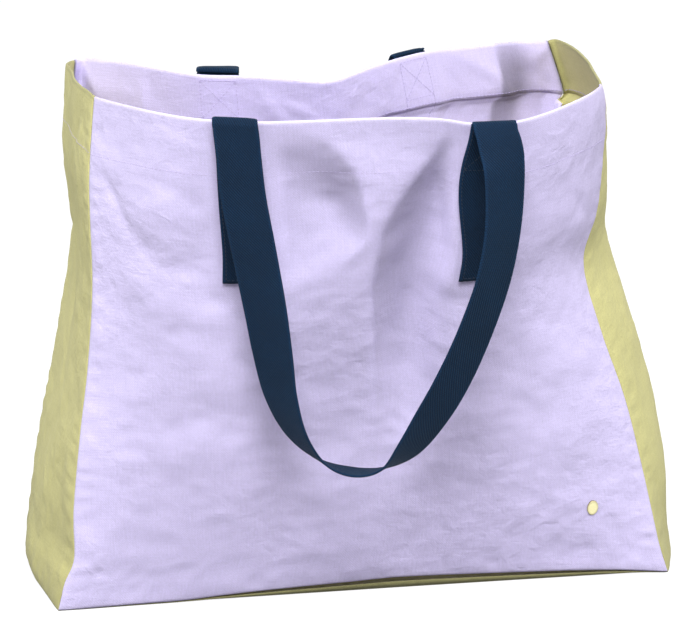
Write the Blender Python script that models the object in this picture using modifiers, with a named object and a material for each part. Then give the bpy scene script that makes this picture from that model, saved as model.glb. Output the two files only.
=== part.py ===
"""A canvas tote bag, standing open.

Two wide panels, two side gussets and a base are sewn together along turned-in seams. The mouth has a deep
turned-in hem with a line of topstitching. Each of the two webbing handles is sewn to the outside of its
panel at both ends, through a stitched box with a cross, and its free loop folds over at the rim and hangs.
A small plain oval badge sits low on the front panel.

X runs along the front panel, Y from front to back and Z up. The origin is the middle of the base, on the
floor. Lengths are in metres. A place given in shares is a share of the bag's width, depth and height.
"""

import math
from bisect import bisect_left

import bmesh
import bpy
from mathutils import Matrix, Vector
from mathutils.geometry import interpolate_bezier

# The bag
BAG_WIDTH = 0.480
BAG_DEPTH = 0.150
BAG_HEIGHT = 0.400
BAG_SIZES = (BAG_WIDTH, BAG_DEPTH, BAG_HEIGHT)
CLOTH_THICKNESS = 0.0009
LAYER_GAP = 0.0003
HEM_DEPTH = 0.045
SEAM_ALLOWANCE = 0.010
BASE_CURL = 0.014

# The handles
WEBBING_WIDTH = 0.032
WEBBING_THICKNESS = 0.0018
SEWN_LENGTH = 0.125
HANDLE_DROP = 0.257
FOLD_REACH = 0.0036
FOLD_CLEARANCE = 0.0008
HANG_CLEARANCE = 0.0030

# From a panel's corner seam to the middle of the strap beside it
FRONT_LEFT_STRAP_INSET = 0.142
FRONT_RIGHT_STRAP_INSET = 0.149
BACK_RIGHT_STRAP_INSET = 0.133
BACK_LEFT_STRAP_INSET = 0.147

# The stitching
THREAD_THICKNESS = 0.0006
THREAD_GAP = 0.0004
STITCH_INSET = 0.0025
CROSS_BOX_HEIGHT = 0.032
HEM_STITCH_INSET = 0.003

# The badge
BADGE_WIDTH = 0.009
BADGE_HEIGHT = 0.012
BADGE_THICKNESS = 0.0012
BADGE_RISE = 0.058
BADGE_FROM_SEAM = 0.059
BADGE_GAP = 0.0004
BADGE_SIDES = 24

# Worked out from the sizes above
CLOTH_HALF = CLOTH_THICKNESS / 2
FOLD_OFFSET = CLOTH_THICKNESS + LAYER_GAP
SEAM_INSET = FOLD_OFFSET
WEBBING_OFFSET = CLOTH_HALF + LAYER_GAP + WEBBING_THICKNESS / 2
THREAD_OFFSET = WEBBING_OFFSET + WEBBING_THICKNESS / 2 + THREAD_GAP + THREAD_THICKNESS / 2
CORNER_FREE = SEAM_ALLOWANCE * 1.5

# Corner seams, from the base up to the rim
FRONT_LEFT_SEAM_SHARES = (
    (-0.500, -0.50, 0.000),
    (-0.488, -0.50, 0.055),
    (-0.472, -0.50, 0.105),
    (-0.471, -0.50, 0.200),
    (-0.458, -0.50, 0.350),
    (-0.443, -0.49, 0.485),
    (-0.433, -0.48, 0.640),
    (-0.434, -0.47, 0.830),
    (-0.423, -0.46, 0.990),
)
FRONT_RIGHT_SEAM_SHARES = (
    (0.500, -0.50, 0.000),
    (0.487, -0.50, 0.045),
    (0.476, -0.50, 0.095),
    (0.454, -0.50, 0.205),
    (0.420, -0.50, 0.360),
    (0.377, -0.50, 0.503),
    (0.345, -0.51, 0.640),
    (0.363, -0.53, 0.740),
    (0.370, -0.54, 0.850),
    (0.371, -0.55, 0.945),
    (0.362, -0.57, 0.988),
)
BACK_RIGHT_SEAM_SHARES = (
    (0.500, 0.50, 0.000),
    (0.498, 0.50, 0.060),
    (0.485, 0.52, 0.220),
    (0.417, 0.52, 0.480),
    (0.374, 0.52, 0.700),
    (0.372, 0.52, 0.860),
    (0.354, 0.50, 0.992),
)
BACK_LEFT_SEAM_SHARES = (
    (-0.514, 0.50, 0.000),
    (-0.523, 0.50, 0.035),
    (-0.513, 0.51, 0.120),
    (-0.490, 0.52, 0.280),
    (-0.457, 0.53, 0.460),
    (-0.433, 0.53, 0.620),
    (-0.428, 0.53, 0.700),
    (-0.437, 0.53, 0.840),
    (-0.427, 0.52, 0.985),
)

# The rim, each side from its first corner seam to its second
FRONT_RIM_SHARES = (
    (-0.402, -0.64, 0.994),
    (-0.365, -0.87, 0.997),
    (-0.327, -1.00, 0.995),
    (-0.283, -1.06, 0.990),
    (-0.200, -1.11, 0.985),
    (-0.065, -1.12, 0.985),
    (0.010, -1.13, 0.985),
    (0.069, -1.15, 0.982),
    (0.110, -1.20, 0.976),
    (0.146, -1.22, 0.975),
    (0.188, -1.20, 0.977),
    (0.229, -1.14, 0.983),
    (0.275, -1.04, 0.991),
    (0.317, -0.90, 0.996),
    (0.346, -0.73, 0.995),
)
RIGHT_RIM_SHARES = (
    (0.368, -0.40, 0.991),
    (0.380, -0.05, 0.994),
    (0.381, 0.25, 0.997),
    (0.371, 0.48, 0.996),
)
BACK_RIM_SHARES = (
    (0.319, 0.43, 0.998),
    (0.265, 0.38, 1.000),
    (0.202, 0.31, 1.000),
    (0.138, 0.21, 1.002),
    (0.079, 0.10, 0.998),
    (0.027, 0.00, 0.990),
    (-0.042, -0.12, 0.977),
    (-0.117, -0.07, 0.982),
    (-0.180, -0.02, 0.985),
    (-0.248, 0.02, 0.988),
    (-0.331, 0.23, 0.995),
    (-0.383, 0.44, 0.990),
    (-0.408, 0.57, 0.985),
)
LEFT_RIM_SHARES = (
    (-0.440, 0.43, 0.985),
    (-0.437, 0.25, 0.986),
    (-0.440, 0.00, 0.989),
    (-0.436, -0.20, 0.991),
    (-0.429, -0.34, 0.992),
)

# The bottom edges, in the same order
FRONT_FOOT_SHARES = (
    (-0.385, -0.50, 0.005),
    (-0.280, -0.50, 0.009),
    (-0.163, -0.50, 0.016),
    (-0.020, -0.50, 0.022),
    (0.060, -0.50, 0.025),
    (0.235, -0.50, 0.021),
    (0.400, -0.50, 0.012),
)
RIGHT_FOOT_SHARES = (
    (0.525, -0.25, 0.006),
    (0.535, 0.00, 0.008),
    (0.525, 0.25, 0.006),
)
BACK_FOOT_SHARES = (
    (0.300, 0.51, 0.012),
    (0.000, 0.51, 0.018),
    (-0.300, 0.51, 0.012),
)
LEFT_FOOT_SHARES = (
    (-0.527, 0.25, 0.006),
    (-0.527, 0.00, 0.008),
    (-0.517, -0.20, 0.005),
)

# How far each side bellies out between its edges at mid height, as a share of the bag's depth
FRONT_BELLY_SHARE = 0.04
RIGHT_BELLY_SHARE = 0.11
BACK_BELLY_SHARE = 0.00
LEFT_BELLY_SHARE = -0.03

# How far the middle of the front panel is pulled towards its second seam, as a share of its width
FRONT_PULL_SHARE = 0.028

# Rows of the cloth mesh between its foot and its hem
ROW_SHARES = (0.04, 0.10, 0.18, 0.27, 0.36, 0.45, 0.53, 0.61)
SIDE_COLUMNS = 6
MIDDLE_COLUMNS = 8
GUSSET_COLUMNS = 8
BASE_COLUMNS = 16

# A handle's way from its left fold to its right one. Each row is the share of the way across, the share of
# the drop, how far the loop swells away from the bag as a share of the webbing's width, and how far the
# webbing is turned edge-on, from 0 to 1.
FRONT_LOOP_SHARES = (
    (0.01, 0.06, 0.00, 0.00),
    (0.03, 0.20, 0.02, 0.02),
    (0.07, 0.36, 0.03, 0.10),
    (0.11, 0.52, 0.03, 0.20),
    (0.14, 0.66, 0.02, 0.32),
    (0.17, 0.78, 0.00, 0.48),
    (0.23, 0.89, 0.00, 0.67),
    (0.33, 0.97, 0.00, 0.86),
    (0.45, 1.00, 0.00, 0.91),
    (0.57, 0.99, 0.00, 0.86),
    (0.67, 0.93, 0.05, 0.64),
    (0.76, 0.83, 0.15, 0.42),
    (0.84, 0.72, 0.25, 0.32),
    (0.915, 0.58, 0.35, 0.33),
    (0.985, 0.42, 0.45, 0.34),
    (1.02, 0.27, 0.45, 0.32),
    (1.03, 0.12, 0.35, 0.22),
    (1.015, 0.04, 0.15, 0.08),
)
BACK_LOOP_SHARES = (
    (0.00, 0.06, 0.00, 0.00),
    (0.00, 0.22, 0.00, 0.00),
    (0.02, 0.40, 0.00, 0.05),
    (0.05, 0.56, 0.00, 0.15),
    (0.08, 0.70, 0.00, 0.30),
    (0.14, 0.83, 0.00, 0.52),
    (0.23, 0.93, 0.00, 0.76),
    (0.36, 0.99, 0.00, 0.92),
    (0.50, 1.00, 0.00, 0.95),
    (0.64, 0.99, 0.00, 0.92),
    (0.77, 0.93, 0.00, 0.76),
    (0.86, 0.83, 0.00, 0.52),
    (0.92, 0.70, 0.00, 0.30),
    (0.95, 0.56, 0.00, 0.15),
    (0.98, 0.40, 0.00, 0.05),
    (1.00, 0.22, 0.00, 0.00),
    (1.00, 0.06, 0.00, 0.00),
)
LOOP_STEPS = 3
REACH_STEPS = 60

CURVE_STEPS = 12
SLOPE_SHARE = 0.01
EDGE_ON = math.radians(90)

LILAC = (0.55, 0.47, 0.75, 1)
OLIVE = (0.52, 0.49, 0.24, 1)
NAVY = (0.010, 0.030, 0.075, 1)
LILAC_THREAD = (0.50, 0.43, 0.70, 1)
PALE_GOLD = (0.83, 0.78, 0.45, 1)


def clear_scene():
    for old in list(bpy.data.objects):
        bpy.data.objects.remove(old, do_unlink=True)


def finish(name, color, roughness, metallic=0):
    """A plain material."""
    material = bpy.data.materials.new(name)
    material.use_nodes = True
    shader = material.node_tree.nodes["Principled BSDF"]
    shader.inputs["Base Color"].default_value = color
    shader.inputs["Roughness"].default_value = roughness
    shader.inputs["Metallic"].default_value = metallic
    material.diffuse_color = color
    return material


def real_places(shares):
    """Places in metres from places in shares of the bag's sizes."""
    return [Vector(share * size for share, size in zip(place, BAG_SIZES)) for place in shares]


def smooth_line(points, steps=CURVE_STEPS):
    """Close points on a smooth curve through the given ones."""
    guided = [points[0]] + list(points) + [points[-1]]
    line = [points[0]]
    for before, start, end, after in zip(guided, guided[1:], guided[2:], guided[3:]):
        leaving = start + (end - before) / 6
        arriving = end - (after - start) / 6
        line += interpolate_bezier(start, leaving, arriving, end, steps + 1)[1:]
    return line


class Line:
    """A line of close points, read at shares of its length."""

    def __init__(self, points):
        self.points = points
        self.lengths = [0]
        for start, end in zip(points, points[1:]):
            self.lengths.append(self.lengths[-1] + (end - start).length)

    def length(self):
        return self.lengths[-1]

    def at(self, share):
        target = share * self.length()
        index = min(max(bisect_left(self.lengths, target), 1), len(self.points) - 1)
        part = (target - self.lengths[index - 1]) / (self.lengths[index] - self.lengths[index - 1])
        return self.points[index - 1].lerp(self.points[index], part)


def edge(first, shares, last):
    """A cloth edge through the given shares, between two corner places."""
    return Line(smooth_line([first] + real_places(shares) + [last]))


class Side:
    """A cloth side stretched between its foot, its rim and the two seams beside it."""

    def __init__(self, foot, rim, first_seam, second_seam, belly, pull, strap_insets):
        self.foot = foot
        self.rim = rim
        self.first_seam = first_seam
        self.second_seam = second_seam
        self.belly = belly
        self.pull = pull
        self.strap_insets = strap_insets
        self.width = rim.length()

    def flat_place(self, across, up):
        across += self.pull * math.sin(math.pi * across) * math.sin(math.pi * up)
        between_ends = self.foot.at(across).lerp(self.rim.at(across), up)
        between_seams = self.first_seam.at(up).lerp(self.second_seam.at(up), across)
        low = self.foot.at(0).lerp(self.foot.at(1), across)
        high = self.rim.at(0).lerp(self.rim.at(1), across)
        return between_ends + between_seams - low.lerp(high, up)

    def facing(self, across, up):
        """The outward direction."""
        left = self.flat_place(max(across - SLOPE_SHARE, 0), up)
        right = self.flat_place(min(across + SLOPE_SHARE, 1), up)
        under = self.flat_place(across, max(up - SLOPE_SHARE, 0))
        over = self.flat_place(across, min(up + SLOPE_SHARE, 1))
        return (right - left).cross(over - under).normalized()

    def place(self, across, up, outward=0):
        """The place on the cloth's middle surface, or that far outside it."""
        swell = self.belly * math.sin(math.pi * across) * math.sin(math.pi * up)
        return self.flat_place(across, up) + self.facing(across, up) * (swell + outward)


def even_steps(start, end, count):
    """Shares from start to end, leaving the end out."""
    return [start + (end - start) * step / count for step in range(count)]


def sheet_of(name, columns, rows, place, thickness, material):
    """A thick sheet from a flat grid moved to the given places. Where the place is None there is no cloth."""
    shape = bmesh.new()
    bmesh.ops.create_grid(shape, x_segments=columns - 1, y_segments=rows - 1, size=1)
    missing = []
    for vertex in shape.verts:
        column = round((vertex.co.x + 1) / 2 * (columns - 1))
        row = round((vertex.co.y + 1) / 2 * (rows - 1))
        moved = place(column, row)
        if moved is None:
            missing.append(vertex)
        else:
            vertex.co = moved
    bmesh.ops.delete(shape, geom=missing, context="VERTS")
    sheet = add_object(name, shape, material)
    thicken(sheet, thickness)
    return sheet


def add_object(name, shape, material):
    mesh = bpy.data.meshes.new(name)
    shape.to_mesh(mesh)
    shape.free()
    mesh.materials.append(material)
    mesh.shade_smooth()
    mesh.set_sharp_from_angle(angle=math.radians(40))
    made = bpy.data.objects.new(name, mesh)
    bag_parts.objects.link(made)
    return made


def thicken(sheet, thickness):
    solidify = sheet.modifiers.new("Thickness", "SOLIDIFY")
    solidify.thickness = thickness
    solidify.offset = 0
    solidify.use_even_offset = True
    solidify.use_quality_normals = True


def strap_shares(side):
    """The shares across a panel of its two strap centres, and of half a strap's width."""
    first, second = side.strap_insets
    centres = (first / side.width, 1 - second / side.width)
    return centres, WEBBING_WIDTH / 2 / side.width


def panel_columns(side):
    """Shares across a wide panel, with an edge of the mesh under each edge of each strap."""
    inset = SEAM_INSET / side.width
    (left, right), half = strap_shares(side)
    return (
        even_steps(inset, left - half, SIDE_COLUMNS)
        + even_steps(left - half, left + half, 1)
        + even_steps(left + half, right - half, MIDDLE_COLUMNS)
        + even_steps(right - half, right + half, 1)
        + even_steps(right + half, 1 - inset, SIDE_COLUMNS)
        + [1 - inset]
    )


def gusset_columns(side):
    inset = SEAM_INSET / side.width
    return even_steps(inset, 1 - inset, GUSSET_COLUMNS) + [1 - inset]


def height_share(distance_from_rim):
    return 1 - distance_from_rim / BAG_HEIGHT


def sewn_side(name, side, before, after, columns, material):
    """A panel or a gusset, with the sides before and after it round the bag: its cloth, its seam allowances
    turned in at both seams and at the foot, and its hem folded over and down inside."""
    foot_row = SEAM_INSET / BAG_HEIGHT
    hem_low, hem_middle, turn = strap_rows()[-3:]
    flat_rows = [foot_row] + list(ROW_SHARES) + strap_rows()
    rows = [(up, 0) for up in flat_rows] + [(1, FOLD_OFFSET / 2)]
    rows += [(up, FOLD_OFFSET) for up in (turn, hem_middle, hem_low)]
    fin_low = CORNER_FREE / BAG_HEIGHT
    fin_high = height_share(HEM_DEPTH + SEAM_ALLOWANCE)
    corner_free = CORNER_FREE / side.width

    def place(column, row):
        up, inward = rows[max(row - 1, 0)]
        across = columns[min(max(column - 1, 0), len(columns) - 1)]
        at_first = column == 0
        at_second = column == len(columns) + 1
        below = row == 0
        if at_first or at_second:
            if below or inward or not fin_low <= up <= fin_high:
                return None
            inwards = seam_inward(before, side, up) if at_first else seam_inward(side, after, up)
            return side.place(across, up) + inwards * SEAM_ALLOWANCE
        if below:
            if not corner_free <= across <= 1 - corner_free:
                return None
            return side.place(across, up) + foot_inward(side, across) * SEAM_ALLOWANCE
        narrowed = 2 * inward / side.width
        across = min(max(across, columns[0] + narrowed), columns[-1] - narrowed)
        return side.place(across, up, -inward)

    return sheet_of(name, len(columns) + 2, len(rows) + 1, place, CLOTH_THICKNESS, material)


def seam_inward(before, after, up):
    """The direction of the seam allowances between two sides at a height: halfway between their insides."""
    return -(before.facing(1, up) + after.facing(0, up)).normalized()


def foot_inward(side, across):
    """The direction of the seam allowance at a side's foot: halfway between inwards and up."""
    inward = -side.facing(across, 0)
    inward.z = 0
    return (inward.normalized() + Vector((0, 0, 1))).normalized()


def base_sheet(front, right, back, left, material):
    """The base: flat on the floor, curling up to the foot of each side, its seam allowances turned up."""
    across_inset = SEAM_INSET / BAG_WIDTH
    deep_inset = SEAM_INSET / BAG_DEPTH
    curl_across = BASE_CURL / BAG_WIDTH
    curl_deep = BASE_CURL / BAG_DEPTH
    columns = [across_inset, curl_across / 2] + even_steps(curl_across, 1 - curl_across, BASE_COLUMNS)
    columns += [1 - curl_across, 1 - curl_across / 2, 1 - across_inset]
    rows = [deep_inset, curl_deep / 2] + even_steps(curl_deep, 1 - curl_deep, GUSSET_COLUMNS)
    rows += [1 - curl_deep, 1 - curl_deep / 2, 1 - deep_inset]
    corner_across = CORNER_FREE / BAG_WIDTH
    corner_deep = CORNER_FREE / BAG_DEPTH

    def plan(across, deep):
        front_edge = front.foot.at(across)
        back_edge = back.foot.at(1 - across)
        left_edge = left.foot.at(1 - deep)
        right_edge = right.foot.at(deep)
        low = front.foot.at(0).lerp(front.foot.at(1), across)
        high = back.foot.at(1).lerp(back.foot.at(0), across)
        place = front_edge.lerp(back_edge, deep) + left_edge.lerp(right_edge, across) - low.lerp(high, deep)
        lifts = (
            (front_edge.z, deep * BAG_DEPTH),
            (back_edge.z, (1 - deep) * BAG_DEPTH),
            (left_edge.z, across * BAG_WIDTH),
            (right_edge.z, (1 - across) * BAG_WIDTH),
        )
        floor = CLOTH_HALF
        place.z = floor + sum((rise - floor) * max(0, 1 - away / BASE_CURL) ** 2 for rise, away in lifts)
        return place

    def place(column, row):
        deep = 1 - rows[min(max(row - 1, 0), len(rows) - 1)]
        across = columns[min(max(column - 1, 0), len(columns) - 1)]
        aside = column in (0, len(columns) + 1)
        beyond = row in (0, len(rows) + 1)
        if aside and beyond:
            return None
        if aside and not corner_deep <= deep <= 1 - corner_deep:
            return None
        if beyond and not corner_across <= across <= 1 - corner_across:
            return None
        spot = plan(across, deep)
        if not aside and not beyond:
            return spot
        if aside:
            side, share = (left, 1 - deep) if column == 0 else (right, deep)
        else:
            side, share = (back, 1 - across) if row == 0 else (front, across)
        return spot + foot_inward(side, share) * SEAM_ALLOWANCE

    return sheet_of("base_panel", len(columns) + 2, len(rows) + 2, place, CLOTH_THICKNESS, material)


def on_strap(side, centre, share, up, outward):
    """A place that share of the way across a strap's width, level between its two edges."""
    half = strap_shares(side)[1]
    return side.place(centre - half, up, outward).lerp(side.place(centre + half, up, outward), share)


def strap_rows():
    """The heights at which a sewn end follows its panel, from its cut end to the rim."""
    low = height_share(SEWN_LENGTH)
    hem_low = height_share(HEM_DEPTH)
    turn = height_share(FOLD_OFFSET / 2)
    return [low, (low + hem_low) / 2, hem_low, (hem_low + turn) / 2, turn]


def sewn_end(name, side, centre, fold, axis, material):
    """One end of a handle, flat on the outside of its panel, and up to the underside of its fold."""
    ups = strap_rows() + [1]

    def place(column, row):
        spot = on_strap(side, centre, column, ups[row], WEBBING_OFFSET)
        if row == len(ups) - 1:
            beside_fold = fold + axis * (spot - fold).dot(axis)
            spot.z = beside_fold.z - WEBBING_THICKNESS / 2 - LAYER_GAP
        return spot

    return sheet_of(name, 2, len(ups), place, WEBBING_THICKNESS, material)


def end_stitching(name, side, centre, material):
    """The thread that holds a handle's end: a box with a cross inside the hem, and a row down each edge."""
    left = STITCH_INSET / WEBBING_WIDTH
    high = height_share(STITCH_INSET + FOLD_OFFSET)
    box_low = height_share(STITCH_INSET + FOLD_OFFSET + CROSS_BOX_HEIGHT)
    low = height_share(SEWN_LENGTH - STITCH_INSET)
    shape = bmesh.new()

    def corner(share, up):
        return shape.verts.new(on_strap(side, centre, share, up, THREAD_OFFSET))

    sewn_middle, hem_low, hem_middle = strap_rows()[1:4]
    ups = (high, hem_middle, box_low, hem_low, sewn_middle, low)
    lefts = [corner(left, up) for up in ups]
    rights = [corner(1 - left, up) for up in ups]
    crossing = shape.verts.new((lefts[0].co + rights[0].co + lefts[2].co + rights[2].co) / 4)
    shape.faces.new((*lefts[:3], crossing))
    shape.faces.new((lefts[2], rights[2], crossing))
    shape.faces.new((*reversed(rights[:3]), crossing))
    shape.faces.new((rights[0], lefts[0], crossing))
    shape.faces.new((*lefts[2:], *reversed(rights[2:])))
    stitching = add_object(name, shape, material)
    wire = stitching.modifiers.new("Thread", "WIREFRAME")
    wire.thickness = THREAD_THICKNESS
    wire.use_even_offset = True
    wire.use_boundary = True
    wire.use_replace = True
    return stitching


def fold_points(side):
    """Where the two ends of a handle fold over at the rim: the places its free loop turns about."""
    centres, half = strap_shares(side)
    points = []
    for centre in centres:
        point = side.place(centre, 1, WEBBING_OFFSET)
        rim_height = max(side.place(share, 1).z for share in (centre - half, centre, centre + half))
        point.z = rim_height + CLOTH_HALF + FOLD_CLEARANCE + WEBBING_THICKNESS / 2
        points.append(point)
    return points


def cloth_reach(side, up, spot, axis, out):
    """How far past a spot the cloth behind it would bring webbing sewn to it, within a webbing's width."""
    shares = [step / REACH_STEPS for step in range(REACH_STEPS + 1)]
    offsets = [side.place(share, up, WEBBING_OFFSET) - spot for share in shares]
    return max(offset.dot(out) for offset in offsets if abs(offset.dot(axis)) < WEBBING_WIDTH)


def handle_loop(name, side, route_shares, material):
    """The free part of a handle: out over one fold, down to the bottom of the loop and up to the other."""
    first, last = fold_points(side)
    axis = (last - first).normalized()
    up = Vector((0, 0, 1))
    out = axis.cross(up).normalized()
    over_edge = [fold + out * (cloth_reach(side, 1, fold, axis, out) + FOLD_REACH) for fold in (first, last)]
    turned_down = [spot + out * WEBBING_THICKNESS - up * WEBBING_THICKNESS * 2 for spot in over_edge]

    points = []
    turns = []
    for across, drop, swell, turn in route_shares:
        hung_from = turned_down[0].lerp(turned_down[1], across)
        spot = hung_from - up * drop * HANDLE_DROP + out * swell * WEBBING_WIDTH
        half_depth = WEBBING_THICKNESS + (WEBBING_WIDTH / 2 - WEBBING_THICKNESS) * turn
        reach = cloth_reach(side, 1 - drop * HANDLE_DROP / BAG_HEIGHT, spot, axis, out)
        points.append(spot + out * max(0, reach + half_depth + HANG_CLEARANCE))
        turns.append(Vector((turn, 0, 0)))
    line = smooth_line([turned_down[0]] + points + [turned_down[1]], LOOP_STEPS)
    turned = smooth_line([Vector()] + turns + [Vector()], LOOP_STEPS)

    ribs = [(first, -axis), (over_edge[0], -axis)]
    for before, spot, after, turn in zip(line[:1] + line, line, line[1:] + line[-1:], turned):
        aside = (after - before).cross(out).normalized()
        angle = turn.x * EDGE_ON
        ribs.append((spot, aside * math.cos(angle) - out * math.sin(angle)))
    ribs += [(over_edge[1], axis), (last, axis)]
    pivot = (first + last) / 2

    def place(column, row):
        spot, aside = ribs[row]
        return spot + aside * (column - 0.5) * WEBBING_WIDTH - pivot

    loop = sheet_of(name, 2, len(ribs), place, WEBBING_THICKNESS, material)
    loop.location = pivot
    return loop


def hem_stitching(sides, columns_of, material):
    """The line of thread just above the hem's lower edge, all round the inside of the mouth."""
    up = height_share(HEM_DEPTH - HEM_STITCH_INSET)
    inward = FOLD_OFFSET + CLOTH_HALF + LAYER_GAP * 2 + THREAD_THICKNESS / 2
    points = []
    for side, columns in zip(sides, columns_of):
        places = [side.place(share, up, -inward) for share in columns]
        turning = 2 * inward / side.width / (columns[1] - columns[0])
        points.append(places[0].lerp(places[1], turning))
        points += places[1:-1]
        points.append(places[-1].lerp(places[-2], turning))
    curve = bpy.data.curves.new("hem_stitching", "CURVE")
    curve.dimensions = "3D"
    curve.bevel_depth = THREAD_THICKNESS / 2
    curve.bevel_resolution = 1
    spline = curve.splines.new("POLY")
    spline.points.add(len(points) - 1)
    for point, spot in zip(spline.points, points):
        point.co = (*spot, 1)
    spline.use_cyclic_u = True
    curve.materials.append(material)
    stitching = bpy.data.objects.new("hem_stitching", curve)
    bag_parts.objects.link(stitching)


def oval_badge(side, material):
    """A small plain oval on the outside of the front panel, low and near its second seam."""
    across = 1 - BADGE_FROM_SEAM / side.width
    up = BADGE_RISE / BAG_HEIGHT
    facing = side.facing(across, up)
    aside = Vector((0, 0, 1)).cross(facing).normalized()
    shape = bmesh.new()
    bmesh.ops.create_cone(shape, cap_ends=True, segments=BADGE_SIDES, radius1=0.5, radius2=0.5, depth=1)
    bmesh.ops.scale(shape, vec=(BADGE_WIDTH, BADGE_HEIGHT, BADGE_THICKNESS), verts=shape.verts)
    badge = add_object("badge", shape, material)
    axes = Matrix((aside, facing.cross(aside), facing)).transposed()
    badge.rotation_euler = axes.to_euler()
    badge.location = side.place(across, up, CLOTH_HALF + BADGE_GAP + BADGE_THICKNESS / 2)
    rim = badge.modifiers.new("Rounded rim", "BEVEL")
    rim.width = BADGE_THICKNESS / 3
    rim.segments = 2
    rim.limit_method = "ANGLE"


def cloth_sides():
    """The four upright sides in order round the bag: front, right, back and left."""
    seams = [
        Line(smooth_line(real_places(shares)))
        for shares in (
            FRONT_LEFT_SEAM_SHARES,
            FRONT_RIGHT_SEAM_SHARES,
            BACK_RIGHT_SEAM_SHARES,
            BACK_LEFT_SEAM_SHARES,
        )
    ]
    feet = (FRONT_FOOT_SHARES, RIGHT_FOOT_SHARES, BACK_FOOT_SHARES, LEFT_FOOT_SHARES)
    rims = (FRONT_RIM_SHARES, RIGHT_RIM_SHARES, BACK_RIM_SHARES, LEFT_RIM_SHARES)
    bellies = (FRONT_BELLY_SHARE, RIGHT_BELLY_SHARE, BACK_BELLY_SHARE, LEFT_BELLY_SHARE)
    pulls = (FRONT_PULL_SHARE, 0, 0, 0)
    straps = (
        (FRONT_LEFT_STRAP_INSET, FRONT_RIGHT_STRAP_INSET),
        None,
        (BACK_RIGHT_STRAP_INSET, BACK_LEFT_STRAP_INSET),
        None,
    )
    sides = []
    pairs = zip(seams, seams[1:] + seams[:1])
    for (first, second), foot, rim, belly, pull, insets in zip(pairs, feet, rims, bellies, pulls, straps):
        foot_edge = edge(first.at(0), foot, second.at(0))
        rim_edge = edge(first.at(1), rim, second.at(1))
        sides.append(Side(foot_edge, rim_edge, first, second, belly * BAG_DEPTH, pull, insets))
    return sides


def build_bag():
    lilac = finish("lilac_canvas", LILAC, 0.9)
    olive = finish("olive_canvas", OLIVE, 0.9)
    navy = finish("navy_webbing", NAVY, 0.75)
    navy_thread = finish("navy_thread", NAVY, 0.6)
    lilac_thread = finish("lilac_thread", LILAC_THREAD, 0.7)
    gold = finish("pale_gold", PALE_GOLD, 0.3, 1)

    sides = cloth_sides()
    names = ("front_panel", "right_gusset", "back_panel", "left_gusset")
    columns_of = [
        panel_columns(side) if name.endswith("panel") else gusset_columns(side)
        for name, side in zip(names, sides)
    ]
    neighbours = zip(names, sides, sides[-1:] + sides, sides[1:] + sides[:1], columns_of)
    for name, side, before, after, columns in neighbours:
        sewn_side(name, side, before, after, columns, lilac if name.endswith("panel") else olive)
    base_sheet(*sides, olive)
    hem_stitching(sides, columns_of, lilac_thread)

    handles = (
        ("front_handle", sides[0], FRONT_LOOP_SHARES, ("left", "right")),
        ("back_handle", sides[2], BACK_LOOP_SHARES, ("right", "left")),
    )
    for name, side, route_shares, ends in handles:
        handle_loop(name + "_loop", side, route_shares, navy)
        folds = fold_points(side)
        axis = (folds[1] - folds[0]).normalized()
        for end, centre, fold in zip(ends, strap_shares(side)[0], folds):
            sewn_end(f"{name}_{end}_end", side, centre, fold, axis, navy)
            end_stitching(f"{name}_{end}_end_stitching", side, centre, navy_thread)
    oval_badge(sides[0], gold)


clear_scene()
bag_parts = bpy.data.collections.new("tote_bag")
bpy.context.scene.collection.children.link(bag_parts)
build_bag()
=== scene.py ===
"""A canvas tote bag, standing open: dressed cloth, webbing handles, stitching and a small badge.

Two wide panels, two side gussets and a base are sewn together along turned-in seams. The mouth has a deep
turned-in hem. The webbing handles are sewn to the outside of the panels and their loops hang from the rim.

X runs along the front panel, Y from front to back and Z up. The origin is the middle of the base, on the
floor. Lengths are in metres. A place given in shares is a share of the bag's width, depth and height.
"""

import math

import bmesh
import bpy
import numpy as np
from bpy.props import FloatProperty, FloatVectorProperty, IntProperty, PointerProperty
from bpy.types import Operator, Panel, PropertyGroup
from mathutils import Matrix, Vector
from mathutils.geometry import interpolate_bezier


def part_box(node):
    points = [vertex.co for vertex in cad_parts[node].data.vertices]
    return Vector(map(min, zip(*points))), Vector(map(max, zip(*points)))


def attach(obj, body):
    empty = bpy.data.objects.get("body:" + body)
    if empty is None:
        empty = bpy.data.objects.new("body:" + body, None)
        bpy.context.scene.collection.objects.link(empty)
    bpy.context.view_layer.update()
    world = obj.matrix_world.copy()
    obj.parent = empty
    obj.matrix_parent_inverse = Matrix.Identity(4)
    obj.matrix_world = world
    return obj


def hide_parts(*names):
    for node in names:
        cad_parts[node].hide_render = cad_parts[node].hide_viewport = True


bl_info = {
    "name": "Canvas Tote Bag",
    "version": (1, 0, 0),
    "blender": (4, 5, 0),
    "location": "View3D > Sidebar > Tote Bag",
    "description": "Sews the cloth, handles, stitching and badge of a tote bag over its frame",
    "category": "Object",
}

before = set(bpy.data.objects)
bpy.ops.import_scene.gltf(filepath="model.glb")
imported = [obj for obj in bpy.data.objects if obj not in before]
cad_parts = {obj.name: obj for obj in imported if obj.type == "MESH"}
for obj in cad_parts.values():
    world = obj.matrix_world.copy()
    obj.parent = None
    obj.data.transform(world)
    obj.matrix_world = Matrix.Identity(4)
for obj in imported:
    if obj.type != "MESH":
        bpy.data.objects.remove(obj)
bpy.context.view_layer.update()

BAG_WIDTH = 0.480
BAG_DEPTH = 0.150
BAG_HEIGHT = 0.400
BAG_SIZES = np.array((BAG_WIDTH, BAG_DEPTH, BAG_HEIGHT))

SEWN_LENGTH = 0.125
HANDLE_DROP = 0.257
LAYER_GAP = 0.0003
FOLD_REACH = 0.0036
FOLD_CLEARANCE = 0.0008
HANG_CLEARANCE = 0.0030
SEAM_EDGE = 0.0008
BASE_CURL = 0.006
# How far the painted shade along the base's front edge reaches
BASE_SHADE_REACH = 0.035
FOLD_TOP = 0.0012
HEM_CLOSING = 0.0011

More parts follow.
